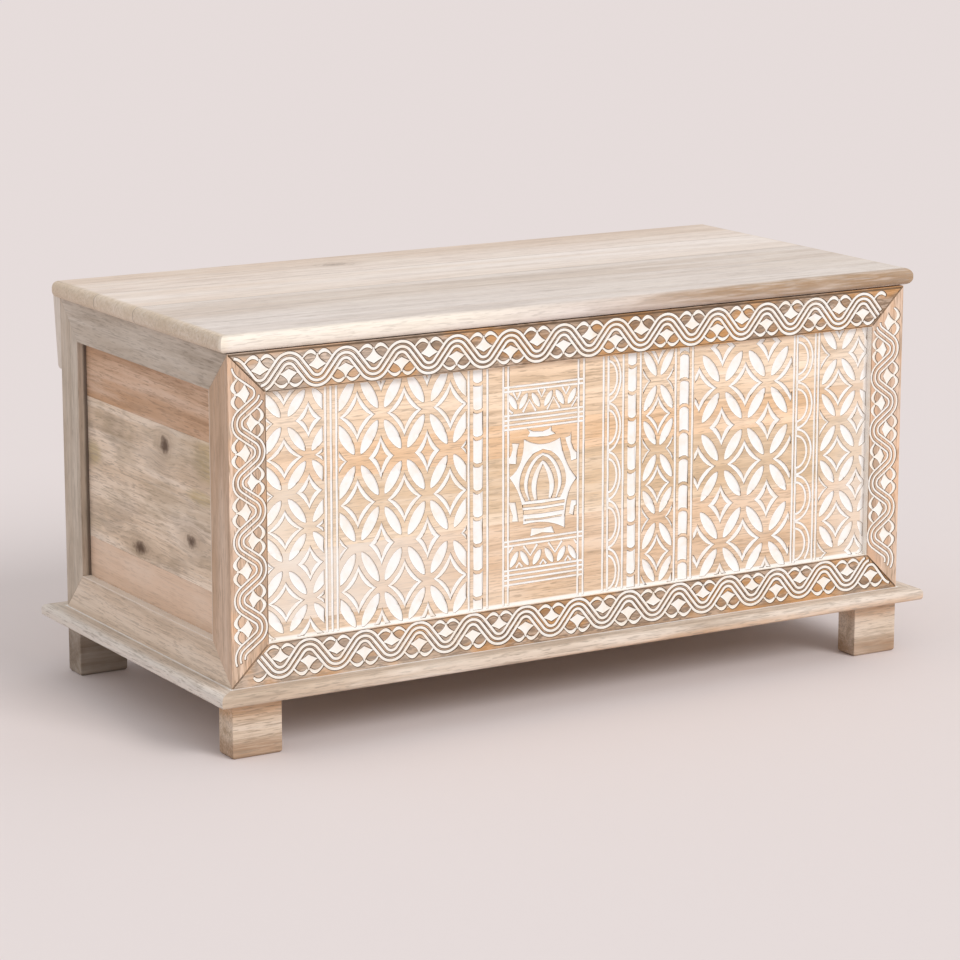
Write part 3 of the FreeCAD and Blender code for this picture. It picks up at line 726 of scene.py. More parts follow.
# The carved frame: three wavy lines with stars and crescents in their hollows
class FrameCarver:
    """Draws one member's carving; s runs along the member and t across it from the outer edge."""
    MIDDLE = 26.0
    SWING = 14.3
    SPREAD = 6.1
    ROUNDNESS = 0.195
    STAR_REACH = 73.6
    STAR_SIZES = (0.97, 1.02)
    INNER_FOOT = 49.6
    INNER_SHARE = 0.93
    MITRE_ROOM = 1.6
    EDGE_ROOM = 0.8
    WAVE_STEP = 2.5
    KNIFE_LINE = (0.8, 0.5)

    def __init__(self, carving, place, start, end, crest, pitch, width, lip, margins):
        self.dice = random.Random(11)
        self.place = place
        self.start = start
        self.end = end
        self.crest = crest
        self.pitch = pitch
        self.width = width
        self.margins = margins
        self.line = carving.line_depth / MM
        self.depth = carving.outline_depth / MM
        self.lip = lip
        self.slope = carving.wall_slope / MM

    def room(self, s, t):
        """How far a point is inside the two mitred ends."""
        return s - self.start - t, self.end - t - s

    def placed(self, points):
        return [self.place(*point) for point in points]

    def numbers(self, pitch):
        """Numbers of the first and last turn on the member."""
        return math.floor((self.start - self.crest) / pitch), math.ceil((self.end - self.crest) / pitch)

    def wave(self, offset):
        """Points of one line of the wave: round turns joined by straight runs."""
        radius = self.ROUNDNESS * self.pitch
        half = self.pitch / 2
        rise = 2 * (self.SWING - radius)
        lean = math.asin(2 * radius / math.hypot(half, rise)) + math.atan2(rise, half)
        first, last = self.numbers(half)
        turns = []
        for number in range(first, last + 1):
            side = -1 if number % 2 == 0 else 1
            s = self.crest + number * half
            t = self.MIDDLE + side * (self.SWING - radius)
            reach = radius + side * offset
            for step in range(-6, 7):
                angle = lean * step / 6
                turns.append((s + reach * math.sin(angle), t + side * reach * math.cos(angle)))
        path = []
        for before, after in zip(turns, turns[1:]):
            steps = max(1, round(math.dist(before, after) / self.WAVE_STEP))
            for step in range(steps):
                path.append(tuple(a + (b - a) * step / steps for a, b in zip(before, after)))
        return path

    def draw_lines(self, relief):
        """Three lines side by side, each one unbroken run between the mitres."""
        for offset in (-self.SPREAD, 0.0, self.SPREAD):
            runs = [[]]
            for spot in self.wave(offset):
                if all(room > margin for room, margin in zip(self.room(*spot), self.margins)):
                    runs[-1].append(spot)
                elif runs[-1]:
                    runs.append([])
            rim = ribbon(max(runs, key=len), self.width)
            relief.cut(self.placed(rim), self.slope, self.line)

    def draw_hollow(self, relief, middle, from_outer):
        """A white star under a pair of crescents."""
        scale = self.pitch / self.STAR_REACH * self.dice.uniform(*self.STAR_SIZES)
        flare = [(1.8, 8.4), (1.9, 11.0)] + bow((2.3, 12.2), (6.2, 17.2), (14.0, 22.0))
        belly = bow((14.0, 22.0), (7.2, 25.0), (0.0, 28.8))
        star = flare + belly + [(0.0, 28.8)] + mirrored(reversed(flare + belly[1:]))
        brow = bow((0.2, 9.0), (9.6, 3.4), (20.6, 12.2), 9) + [(20.6, 12.2)]
        crescent = brow + bow((18.4, 15.4), (10.2, 9.4), (1.8, 13.0), 9) + [(1.8, 13.0)]
        for outline in (star, crescent, mirrored(crescent)):
            points = []
            for u, v in outline:
                t = v if from_outer else self.INNER_FOOT - v * self.INNER_SHARE
                points.append((middle + u * scale, t))
            if all(min(self.room(s, t)) > self.MITRE_ROOM
                   and self.EDGE_ROOM < t < MEMBER_WIDTH - self.EDGE_ROOM for s, t in points):
                relief.cut(self.placed(points), self.slope, self.depth)

    def draw_joints(self, relief):
        """Knife lines along the mitres and the inner arris."""
        inner = MEMBER_WIDTH - 0.7
        edges = [[(self.start + inner + 2.0, inner), (self.end - inner - 2.0, inner)]]
        for place, lean in ((self.start, 1), (self.end, -1)):
            edges.append([(place + lean * (t + 0.8), t) for t in (0.6, MEMBER_WIDTH - 1.6)])
        for path in edges:
            relief.score(self.placed(path), *self.KNIFE_LINE)

    def draw(self, relief):
        self.draw_lines(relief)
        self.draw_joints(relief)
        first, last = self.numbers(self.pitch)
        for number in range(first - 1, last + 2):
            crest = self.crest + number * self.pitch
            self.draw_hollow(relief, crest, False)
            self.draw_hollow(relief, crest + self.pitch / 2, True)


# Sides of a rail and of a stile, by the numbers of their front and back corners; the last one is painted
RAIL_SIDES = ((0, 1, 5, 4), (1, 6, 5), (1, 2, 7, 6), (3, 0, 9, 8), (0, 4, 9), (4, 5, 6, 7, 8, 9),
              (2, 3, 8, 7))
STILE_SIDES = ((0, 1, 5, 4), (1, 2, 6, 5), (3, 0, 4, 7), (4, 5, 6, 7), (2, 3, 7, 6))


def rail_points(h_outer, inwards):
    """Front and back corners of a rail whose outer edge is at a height; inwards is -1 for the top rail."""
    inner = h_outer + MEMBER_WIDTH * inwards
    notch = h_outer + WALL_THICKNESS * inwards
    back = HALF_WALL - WALL_THICKNESS
    front = [(-HALF_WALL, h_outer), (HALF_WALL, h_outer), (PANEL_RIGHT, inner), (PANEL_LEFT, inner)]
    behind = [(-back, h_outer), (back, h_outer), (back, notch), *front[2:], (-back, notch)]
    return front, behind


def stile_points(side):
    """Front and back corners of a stile; side is -1 for the left one."""
    outer = HALF_WALL * side
    inner = PANEL_RIGHT * side
    back = (HALF_WALL - WALL_THICKNESS) * side
    front = [(outer, 0.0), (outer, WALL_HEIGHT), (inner, PANEL_TOP), (inner, PANEL_FOOT)]
    behind = [(back, WALL_THICKNESS), (back, WALL_HEIGHT - WALL_THICKNESS), *front[2:]]
    return front, behind


def carve_member(name, carver, points, sides):
    """One closed carved mesh for a rail or a stile."""
    front, behind = points
    mesh = CarvedMesh(FACE_Y)
    relief = Relief(front, carver.lip)
    carver.draw(relief)
    corners, faces = relief.triangles()
    for face, level in faces:
        mesh.add_face([corners[index] for index in face], level)
    ends = [(x, h, 0.0) for x, h in front] + [(x, h, WALL_THICKNESS) for x, h in behind]
    for side in sides:
        mesh.add_face([ends[index] for index in side], FLOOR if side == sides[-1] else LAND)
    made = mesh.solid(name)
    solid = bmesh.new()
    solid.from_mesh(made)
    face_outwards(solid, made)
    return made


# Finishes
class Finish:
    """One procedural material, built node by node, with its colours laid one over another."""

    def __init__(self, name):
        self.material = bpy.data.materials.new(name)
        self.material.use_nodes = True
        self.tree = self.material.node_tree
        self.shader = self.tree.nodes["Principled BSDF"]
        self.place = self.tree.nodes.new("ShaderNodeTexCoord").outputs["Object"]
        self.colour = None

    def feed(self, socket, value):
        if isinstance(value, bpy.types.NodeSocket):
            self.tree.links.new(value, socket)
        else:
            socket.default_value = value

    def node(self, kind, inputs, output=0, **settings):
        """Add a node with its settings and inputs, and hand back one of its outputs."""
        made = self.tree.nodes.new(kind)
        for name, value in settings.items():
            setattr(made, name, value)
        for name, value in inputs.items():
            self.feed(made.inputs[name], value)
        return made.outputs[output]

    def maths(self, operation, first, second=0.0):
        return self.node("ShaderNodeMath", {0: first, 1: second}, operation=operation)

    def times(self, first, second):
        return self.maths("MULTIPLY", first, second)

    def vector(self, operation, first, second=(0.0, 0.0, 0.0)):
        output = "Value" if operation == "LENGTH" else "Vector"
        return self.node("ShaderNodeVectorMath", {0: first, 1: second}, output, operation=operation)

    def scaled(self, vector, factor):
        return self.node("ShaderNodeVectorMath", {0: vector, "Scale": factor}, "Vector", operation="SCALE")

    def away(self, place, reach):
        """How far off a place is along each axis, in shares of a reach."""
        offset = self.vector("SUBTRACT", self.place, place)
        return self.vector("MULTIPLY", offset, tuple(1 / part for part in reach))

    def noise(self, vector, scale, detail=3.0, roughness=0.5, distortion=0.0):
        return self.node("ShaderNodeTexNoise", {"Vector": vector, "Scale": scale, "Detail": detail,
                                                "Roughness": roughness, "Distortion": distortion}, "Fac")

    def fade(self, value, start, end, low=0.0, high=1.0):
        limits = {"From Min": start, "From Max": end, "To Min": low, "To Max": high}
        return self.node("ShaderNodeMapRange", {"Value": value, **limits}, "Result",
                         interpolation_type="SMOOTHSTEP")

    def blend(self, factor, *colours):
        first, second = [value if isinstance(value, bpy.types.NodeSocket) else (*value, 1.0)
                         for value in colours]
        return self.node("ShaderNodeMix", {0: factor, 6: first, 7: second}, 2, data_type="RGBA")

    def lay(self, factor, hue):
        """Blend one more colour over those laid before."""
        self.colour = self.blend(factor, self.colour, hue)

    def stretch(self, vector, scale, turn=(0.0, 0.0, 0.0), shift=(0.0, 0.0, 0.0)):
        return self.node("ShaderNodeMapping", {"Vector": vector, "Location": shift, "Rotation": turn,
                                               "Scale": scale})

    def axis(self, name):
        return self.node("ShaderNodeSeparateXYZ", {0: self.place}, name)

    def bump(self, height, strength, distance):
        self.feed(self.shader.inputs["Normal"],
                  self.node("ShaderNodeBump", {"Strength": strength, "Distance": distance, "Height": height}))

    def settle(self, roughness, gloss):
        """Join colour, roughness and gloss to the shader and hand back the material."""
        self.feed(self.shader.inputs["Base Color"], self.colour)
        self.feed(self.shader.inputs["Roughness"], roughness)
        self.shader.inputs["Specular IOR Level"].default_value = gloss
        return self.material


def tinted(colour, shares):
    """A colour with each channel scaled by a share of its own."""
    return tuple(min(1.0, level * share) for level, share in zip(colour, shares))


def darker(colour, share):
    """A deeper, warmer shade of a wood colour."""
    return (colour[0] * share, colour[1] * share * 0.94, colour[2] * share * 0.87)


def lighter(colour, share):
    return tuple(value + (1.0 - value) * share for value in colour)


# Scale, detail, roughness and distortion of the layers of grain
BROAD_FIGURE = (10.0, 4.0, 0.6, 0.8)
STREAKS = (52.0, 6.0, 0.66, 0.6)
FIBRES = (300.0, 4.0, 0.65)
DASHES = (600.0, 2.0, 0.5)
FLECKS = (400.0, 2.0, 0.5)
CLOUDS = (26.0, 3.0, 0.6)
PATCHES = (7.0, 4.0, 0.6)
KNOT_EDGE = (110.0, 3.0, 0.6)
# Scale along the wood of the patterns that are drawn out with the grain
GRAIN_RUN, DASH_RUN, FLECK_RUN, CLOUD_RUN = 0.055, 0.085, 0.2, 0.4
KNOT_HEART = to_linear(82, 58, 42)
KNOT_PULL = -0.006
RINGS_PER_KNOT = 13.0


def limed_wood(name, tone, lime, grain, seed, contrast=1.0, wash=0.3, turn=(0.0, 0.0, 0.0), knots=(),
               veils=(), lines=(), stains=(), mottle=(), flecks=0.0):
    """Whitewashed wood: broad figure, streaks, pores, lime in patches, and marks at known places.

    A knot is a place, its reach along each axis and how dark its heart is. A veil is an axis, two places
    between which the lime thickens, and a strength. A line is an axis, a place, a half width, a colour
    and a strength. A stain is a place, a reach, a colour and a strength. Mottle is colours with their
    strengths. Flecks is the strength of short dark marks along the grain."""
    work = Finish(name)
    spot = work.place
    shift = random.Random(seed).uniform(-9, 9)
    rings = []
    for place, reach, heart in knots:
        away = work.away(place, reach)
        distance = work.maths("ADD", work.vector("LENGTH", away), work.noise(work.place, *KNOT_EDGE))
        distance = work.maths("SUBTRACT", distance, 0.5)
        pull = work.fade(distance, 0.0, 3.2, 1.0, 0.0)
        spot = work.vector("ADD", spot, work.scaled(away, work.times(pull, KNOT_PULL)))
        rings.append((distance, heart))

    def drawn_out(run, drift=0.0):
        scale = tuple(run if letter == grain else 1.0 for letter in "XYZ")
        return work.stretch(spot, scale, turn, (shift + drift,) * 3)

    along = drawn_out(GRAIN_RUN)
    broad = work.noise(along, *BROAD_FIGURE)
    streak = work.noise(along, *STREAKS)
    fibre = work.noise(along, *FIBRES)
    dash = work.noise(drawn_out(DASH_RUN), *DASHES)
    patch = work.noise(spot, *PATCHES)
    figure = min(contrast, 1.0)
    work.colour = darker(tone, 1.0 - 0.2 * figure)
    work.lay(work.fade(broad, 0.36, 0.64), lighter(tone, 0.14 * figure))
    work.lay(work.times(work.fade(streak, 0.34, 0.48, 1.0, 0.0), 0.35 * contrast), lighter(tone, 0.3))
    work.lay(work.times(work.fade(streak, 0.47, 0.64), 0.5 * contrast), darker(tone, 0.60))
    for place, reach, stain, strength in stains:
        near = work.fade(work.vector("LENGTH", work.away(place, reach)), 0.35, 1.0, strength, 0.0)
        work.lay(work.times(near, work.fade(fibre, 0.36, 0.60, 0.55, 1.0)), stain)
    work.lay(work.times(work.fade(fibre, 0.49, 0.62), 0.42 * contrast), darker(tone, 0.50))
    work.lay(work.times(work.fade(dash, 0.55, 0.66), 0.5 * contrast), darker(tone, 0.40))
    if flecks:
        fleck = work.noise(drawn_out(FLECK_RUN), *FLECKS)
        work.lay(work.fade(fleck, 0.50, 0.58, 0.0, flecks), darker(tone, 0.34))
    for number, (hue, strength) in enumerate(mottle, 1):
        cloud = work.noise(drawn_out(CLOUD_RUN, 3.0 * number), *CLOUDS)
        work.lay(work.fade(cloud, 0.48, 0.62, 0.0, strength), hue)
    washed = work.fade(patch, 0.38, 0.72, wash * 0.25, wash)
    work.lay(work.times(washed, work.fade(streak, 0.4, 0.7, 1.0, 0.45)), lime)
    for letter, start, end, strength in veils:
        veil = work.fade(work.axis(letter), start, end, 0.0, strength)
        work.lay(work.times(veil, work.fade(patch, 0.25, 0.6, 0.45, 1.0)), lime)
    for distance, heart in rings:
        ring = work.fade(work.maths("SINE", work.times(distance, RINGS_PER_KNOT)), 0.1, 0.9, 0.0, 0.35)
        work.lay(work.times(ring, work.fade(distance, 0.7, 1.7, 1.0, 0.0)), darker(tone, 0.42))
        work.lay(work.fade(distance, 0.6, 2.6, 0.5 * heart, 0.0), darker(tone, 0.55))
        work.lay(work.fade(distance, 0.2, 1.0, heart, 0.0), KNOT_HEART)
    for letter, place, half, paint, strength in lines:
        off = work.maths("ABSOLUTE", work.maths("SUBTRACT", work.axis(letter), place))
        near = work.fade(off, half * 0.4, half, strength, 0.0)
        work.lay(work.times(near, work.fade(patch, 0.2, 0.5, 0.5, 1.0)), paint)
    work.bump(work.maths("ADD", work.times(fibre, 0.6), streak), 0.35, 0.0006)
    return work.settle(work.fade(streak, 0.3, 0.7, 0.58, 0.78), 0.28)


def cut_paint(name, paint, wood):
    """White paint rubbed into the cuts, thin in places."""
    work = Finish(name)
    cloud = work.noise(work.place, 60.0, 4.0, 0.6)
    speck = work.noise(work.place, 420.0, 2.0, 0.6)
    work.colour = paint
    work.lay(work.fade(cloud, 0.4, 0.75), darker(paint, 0.97))
    work.lay(work.times(work.fade(speck, 0.64, 0.74), work.fade(cloud, 0.5, 0.7, 0.0, 0.3)), wood)
    work.bump(speck, 0.15, 0.0004)
    return work.settle(work.fade(cloud, 0.3, 0.7, 0.5, 0.7), 0.3)


def cut_painted_shade(name, wood):
    """Painted shade on the steep sides and lips of the cuts: the wood colour darkened to stand in for the
    shadow at their rims.
    """
    work = Finish(name)
    cloud = work.noise(work.place, 140.0, 3.0, 0.6)
    work.colour = darker(wood, 0.14)
    work.lay(work.fade(cloud, 0.35, 0.65), darker(wood, 0.36))
    return work.settle(work.fade(cloud, 0.3, 0.7, 0.65, 0.8), 0.25)


def old_brass(name, brass):
    """Brushed brass, dulled in patches."""
    work = Finish(name)
    cloud = work.noise(work.place, 160.0, 4.0, 0.6)
    brushed = work.noise(work.stretch(work.place, (0.1, 1.0, 1.0)), 900.0, 2.0)
    work.colour = brass
    work.lay(work.fade(cloud, 0.35, 0.7), darker(brass, 0.55))
    work.shader.inputs["Metallic"].default_value = 1.0
    work.bump(brushed, 0.08, 0.0002)
    return work.settle(work.fade(cloud, 0.3, 0.7, 0.3, 0.5), 0.5)


def dress(node, material, width=0.0008):
    """Finish a CAD piece and ease its arrises without touching its mesh."""
    piece = NODES[node]
    piece.data.materials.clear()
    piece.data.materials.append(material)
    weld = piece.modifiers.new("Weld corners", "WELD")
    weld.merge_threshold = 0.00002
    ease = piece.modifiers.new("Ease arrises", "BEVEL")
    ease.width = width
    ease.segments = 2
    ease.limit_method = "ANGLE"
    ease.angle_limit = math.radians(40)
    even = piece.modifiers.new("Even shading", "WEIGHTED_NORMAL")
    even.keep_sharp = True


class CHEST_OT_carve_panel(bpy.types.Operator):
    """Carve the five boards of the front panel"""
    bl_idname = "chest.carve_panel"
    bl_label = "Carve front panel"
    # Tint of each board, with the strength and the reach of the lime at its left end
    BOARDS = (((0.93, 0.86, 0.76), 0.5, 0.16), ((1.07, 1.01, 0.95), 1.0, 0.36),
              ((1.09, 1.11, 1.08), 0.7, 0.16), ((1.19, 1.09, 0.95), 0.5, 0.16),
              ((1.20, 1.22, 1.24), 0.5, 0.16))

    def execute(self, context):
        tones = context.scene.chest_tones
        paint = cut_paint("panel_cut_paint", tones.paint, tones.panel)
        # The lips and steep sides of the panel's cuts take painted shade.
        sides = cut_painted_shade("panel_cut_painted_shade", tones.panel)
        edge = PANEL_RIGHT * MM
        lines = [("Z", WALL_FOOT + (PANEL_FOOT + 1.0) * MM, 0.004, tones.paint, 0.9),
                 ("X", edge - 0.001, 0.006, tones.paint, 0.7)]
        boards = carve_panel_boards(context.scene.chest_carving)
        for number, (node, board, (tint, lime, reach)) in enumerate(zip(PANEL_BOARDS, boards, self.BOARDS)):
            veils = [("X", -edge + reach, -edge, lime), ("X", edge - 0.09, edge + 0.01, 0.6)]
            wood = limed_wood("panel_board_%d_wood" % (number + 1), tinted(tones.panel, tint), tones.lime,
                              "X", 20 + number, 1.15, 0.28, veils=veils, lines=lines)
            name = "carved_panel_board_%d" % (number + 1)
            mesh = board.solid(name)
            close_board(mesh, node)
            piece = finish_mesh(mesh, name, [wood, paint, sides])
            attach(piece, "carcass")
            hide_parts(node)
        return {"FINISHED"}


class CHEST_OT_carve_frame(bpy.types.Operator):
    """Carve the rails and stiles of the front frame"""
    bl_idname = "chest.carve_frame"
    bl_label = "Carve front frame"
    RAIL_PITCH = 73.6
    STILE_PITCH = 68.4
    RAIL_MARGINS = (1.2, 1.2)
    STILE_MARGINS = (14.0, 9.0)
    STILE_SHARES = (0.735, 0.75)
    CREAM = (1.0, 0.985, 0.955)
    RAIL_PATCHES = [(to_linear(208, 146, 72), 0.6), (to_linear(122, 92, 64), 0.4)]
    STILE_PATCHES = [(to_linear(240, 186, 140), 0.4), (to_linear(206, 166, 138), 0.35)]
    WEATHERED = to_linear(150, 112, 74)

    def execute(self, context):
        carving = context.scene.chest_carving
        tones = context.scene.chest_tones
        paint = cut_paint("frame_cut_paint", tinted(tones.paint, self.CREAM), tones.rail)
        # The lips and steep sides of the frame's cuts take painted shade.
        sides = cut_painted_shade("frame_cut_painted_shade", tones.rail)
        wide = HALF_WALL
        tall = WALL_HEIGHT
        bold = (carving.border_width / MM, carving.border_lip / MM)
        fine = [value * share for value, share in zip(bold, self.STILE_SHARES)]
        rail_run = (-wide, wide, self.RAIL_PITCH, bold, self.RAIL_MARGINS)
        stile_run = (0.0, tall, self.STILE_PITCH, fine, self.STILE_MARGINS)
        rail_marks = {"mottle": self.RAIL_PATCHES, "veils": [("X", -0.1, -0.45, 0.3)], "flecks": 0.8,
                      "stains": [((0.40, FACE_Y, 0.0), (0.62, 5.0, 5.0), self.WEATHERED, 0.45)]}
        stile_marks = {"mottle": self.STILE_PATCHES}
        # Painted shadow of the lid: a dark band along the top of the top rail, just under the lid.
        painted_lid_shadow = ("Z", WALL_FOOT + (tall - 2.2) * MM, 0.0018, darker(tones.rail, 0.2), 0.85)
        rail = (rail_run, tones.rail, "X", rail_marks, RAIL_SIDES)
        stile = (stile_run, tones.stile, "Z", stile_marks, STILE_SIDES)
        plans = [("front_top_rail", rail, rail_points(tall, -1), lambda s, t: (s, tall - t), 413.0),
                 ("front_bottom_rail", rail, rail_points(0.0, 1), lambda s, t: (s, t), 397.9),
                 ("front_left_stile", stile, stile_points(-1), lambda s, t: (t - wide, s), 171.6),
                 ("front_right_stile", stile, stile_points(1), lambda s, t: (wide - t, s), 174.0)]
        for number, (node, (run, tone, grain, marks, faces), points, place, crest) in enumerate(plans):
            name = "carved_" + node
            start, end, pitch, line, margins = run
            carver = FrameCarver(carving, place, start, end, crest, pitch, *line, margins)
            lines = [painted_lid_shadow] if node == "front_top_rail" else []
            wood = limed_wood(name + "_wood", lighter(tone, 0.18), tones.lime, grain, 40 + number, 1.9, 0.1,
                              lines=lines, **marks)
            piece = finish_mesh(carve_member(name, carver, points, faces), name, [wood, paint, sides])
            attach(piece, "carcass")
            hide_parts(node)
        return {"FINISHED"}


# Tint, contrast and wash of each piece of a plain wall
WALL_LOOKS = {
    "top_rail": ((0.85, 0.85, 0.82), 0.9, 0.3),
    "bottom_rail": ((1.28, 1.21, 1.10), 0.9, 0.3),
    "rear_stile": ((0.94, 0.94, 0.90), 0.9, 0.3),
    "front_stile": ((1.1, 0.92, 0.77), 0.9, 0.3),
    "left_stile": ((1.0, 0.98, 0.94), 0.9, 0.3),
    "right_stile": ((1.0, 0.96, 0.9), 0.9, 0.3),
    "panel_top_board": ((1.12, 0.84, 0.62), 0.9, 0.1),
    "panel_middle_board": ((1.5, 1.44, 1.33), 1.2, 0.3),
    "panel_bottom_board": ((1.26, 1.07, 0.91), 0.4, 0.3),
}
# Marks on the middle boards: place along the wall, height, and reach along and upwards
KNOTS = {
    "left": [(-0.037, 0.335, 0.016, 0.015), (-0.104, 0.232, 0.018, 0.010), (0.036, 0.196, 0.026, 0.011)],
    "right": [(0.06, 0.30, 0.014, 0.010), (-0.09, 0.22, 0.016, 0.008)],
    "back": [(-0.21, 0.29, 0.016, 0.010), (0.13, 0.23, 0.014, 0.009), (0.30, 0.32, 0.012, 0.008)],
}
STAINS = {
    "left": [(-0.165, 0.335, 0.07, 0.035), (-0.13, 0.288, 0.05, 0.012), (0.165, 0.29, 0.03, 0.02)],
    "right": [(0.14, 0.24, 0.06, 0.03)],
    "back": [(0.36, 0.26, 0.09, 0.03), (-0.33, 0.22, 0.07, 0.025)],
}


def wall_marks(wall, flat, places, *looks):
    """Knots or stains on the face of a wall, each a place, a reach and its looks."""
    made = []
    for along, z, reach_along, reach_z in places[wall]:
        if wall == "back":
            made.append(((along, flat, z), (reach_along, 1.0, reach_z), *looks))
        else:
            made.append(((flat, along, z), (1.0, reach_along, reach_z), *looks))
    return made


class CHEST_OT_finish_walls(bpy.types.Operator):
    """Finish the plain frames and panels of the sides and the back"""
    bl_idname = "chest.finish_walls"
    bl_label = "Finish plain walls"
    OLIVE = to_linear(176, 150, 70)
    # Painted shade for the corner where a rear stile's reveal meets the recessed panel.
    PAINTED_REVEAL_SHADE = to_linear(74, 60, 50)
    PATCHES = [(to_linear(158, 136, 102), 0.3), (to_linear(134, 118, 102), 0.28)]
    SIDE_TURN = (-0.28, 0.0, 0.0)
    BACK_TURN = (0.0, 0.1, 0.0)

    def execute(self, context):
        tones = context.scene.chest_tones
        number = 60
        for wall in ("left", "right", "back"):
            across = "X" if wall == "back" else "Y"
            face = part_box(wall + "_panel_middle_board")[0 if wall == "left" else 1]
            flat = face.y if wall == "back" else face.x
            for node in NODES:
                if not node.startswith(wall + "_"):
                    continue
                number += 1
                kind = node.split("_", 1)[1]
                tint, contrast, wash = WALL_LOOKS[kind]
                marks = {}
                if kind == "rear_stile":
                    # Painted shade: a dark band at the foot of the rear stile's reveal, next to the panel.
                    marks["lines"] = [("X", flat, 0.0065, self.PAINTED_REVEAL_SHADE, 0.8)]
                elif kind == "front_stile":
                    marks["lines"] = [("Y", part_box(node)[1].y, 0.0016, tones.lime, 0.8)]
                elif kind == "bottom_rail":
                    marks["lines"] = [("Z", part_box(node)[1].z, 0.0016, tones.lime, 0.8)]
                elif kind == "panel_middle_board":
                    marks["turn"] = self.BACK_TURN if wall == "back" else self.SIDE_TURN
                    marks["mottle"] = self.PATCHES
                    marks["knots"] = wall_marks(wall, flat, KNOTS, 0.88)
                    marks["stains"] = wall_marks(wall, flat, STAINS, self.OLIVE, 0.75)
                dress(node, limed_wood(node + "_wood", tinted(tones.side, tint), tones.lime,
                                       "Z" if "stile" in kind else across, number, contrast, wash, **marks))
        return {"FINISHED"}


class CHEST_OT_finish_lid(bpy.types.Operator):
    """Finish the three boards of the lid"""
    bl_idname = "chest.finish_lid"
    bl_label = "Finish lid boards"
    CREAM = to_linear(253, 242, 226)
    TAN = to_linear(150, 110, 62)
    END_TONE = to_linear(208, 187, 160)

    def execute(self, context):
        tones = context.scene.chest_tones
        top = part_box("lid_rear_board")[1].z
        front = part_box("lid_front_board")[0].y
        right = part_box("lid_front_board")[1].x
        knot = ((-0.125, 0.165, top), (0.024, 0.013, 1.0), 0.3)
        nose = [((-0.36, front, top), (0.40, 0.012, 0.05), self.CREAM, 0.9),
                ((0.40, front, top), (0.48, 0.012, 0.05), self.TAN, 1.0)]
        ends = [((place, 0.0, top), (0.013, 5.0, 5.0), self.END_TONE, 0.95) for place in (-right, right)]
        seams = [("Y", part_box(node)[1].y, 0.0012, darker(tones.lid, 0.45), 0.7)
                 for node in ("lid_front_board", "lid_middle_board")]
        boards = (("rear", (1.0, 0.95, 0.92), 0.6, 0.3, {"knots": [knot], "stains": ends}),
                  ("middle", (1.09, 1.09, 1.11), 0.5, 0.35, {"stains": ends}),
                  ("front", (0.95, 0.95, 0.97), 0.65, 0.3, {"stains": ends + nose}))
        for number, (place, tint, contrast, wash, marks) in enumerate(boards, 81):
            wood = limed_wood("lid_%s_wood" % place, tinted(tones.lid, tint), tones.lime, "X", number,
                              contrast, wash, lines=seams, **marks)
            dress("lid_%s_board" % place, wood)
        return {"FINISHED"}


class CHEST_OT_finish_base(bpy.types.Operator):
    """Finish the base boards and the feet"""
    bl_idname = "chest.finish_base"
    bl_label = "Finish base and feet"
    ORANGE = to_linear(206, 156, 108)
    BROWN = to_linear(146, 104, 66)
    # Painted shade for the rear left foot.
    SHADED = to_linear(108, 90, 74)
    CONTRAST = 1.3

    def execute(self, context):
        tones = context.scene.chest_tones
        sides = {"front": ("X", "Y", FACE_Y), "rear": ("X", "Y", -FACE_Y),
                 "left": ("Y", "X", -HALF_WALL * MM), "right": ("Y", "X", HALF_WALL * MM)}
        for number, (side, (grain, letter, place)) in enumerate(sides.items(), 90):
            node = "base_%s_board" % side
            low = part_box(node)[0]
            stains = []
            if side == "front":
                stains = [((0.34, low.y, low.z), (0.55, 0.02, 0.011), self.ORANGE, 0.75)]
            # Painted highlight: the left base board, which faces away from the key light, gets a white band
            # at its left end.
            elif side == "left":
                stains = [((low.x, 0.0, low.z), (0.014, 5.0, 5.0), tones.paint, 0.55)]
            # The left board's much lighter tone is a painted highlight; the others are lightened only a
            # little.
            dress(node, limed_wood(node + "_wood", lighter(tones.base, 0.4 if side == "left" else 0.06),
                                   tones.lime, grain, number, self.CONTRAST, 0.45,
                                   lines=[(letter, place, 0.004, tones.paint, 0.9)], stains=stains))
        for number, node in enumerate(sorted(name for name in NODES if name.startswith("foot_")), 100):
            low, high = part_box(node)
            middle = ((low.x + high.x) / 2, (low.y + high.y) / 2)
            share = 0.92
            stains = [((*middle, low.z), (1.0, 1.0, 0.03), self.BROWN, 0.9),
                      ((*middle, high.z), (1.0, 1.0, 0.03), self.ORANGE, 0.8)]
            # Painted shade: the rear left foot, in the shadow under the chest, gets a darker tone and a dark
            # band rising from its foot.
            if node == "foot_rear_left":
                share = 0.5
                stains = [((*middle, low.z), (1.0, 1.0, 0.09), self.SHADED, 0.9)]
            tone = tinted(tones.base, (share, share * 0.95, share * 0.86))
            wood = limed_wood(node + "_wood", tone, tones.lime, "X", number, self.CONTRAST, 0.35,
                              stains=stains)
            dress(node, wood, 0.0012)
        return {"FINISHED"}


class CHEST_OT_finish_inside(bpy.types.Operator):
    """Finish the floor, corner posts, lid battens and lid stops"""
    bl_idname = "chest.finish_inside"
    bl_label = "Finish inside pieces"

    def execute(self, context):
        tones = context.scene.chest_tones
        bare = tones.inside
        dress("floor_panel", limed_wood("floor_wood", bare, tones.lime, "X", 111, 0.7, 0.1), 0.0003)
        looks = {"corner_post": (bare, "Z", 0.1), "lid_batten": (bare, "Y", 0.1),
                 "lid_stop": (lighter(tones.side, 0.3), "Z", 0.4)}
        for number, node in enumerate(sorted(NODES), 112):
            for kind, (tone, grain, wash) in looks.items():
                if node.startswith(kind):
                    dress(node, limed_wood(node + "_wood", tone, tones.lime, grain, number, 0.8, wash))
        return {"FINISHED"}


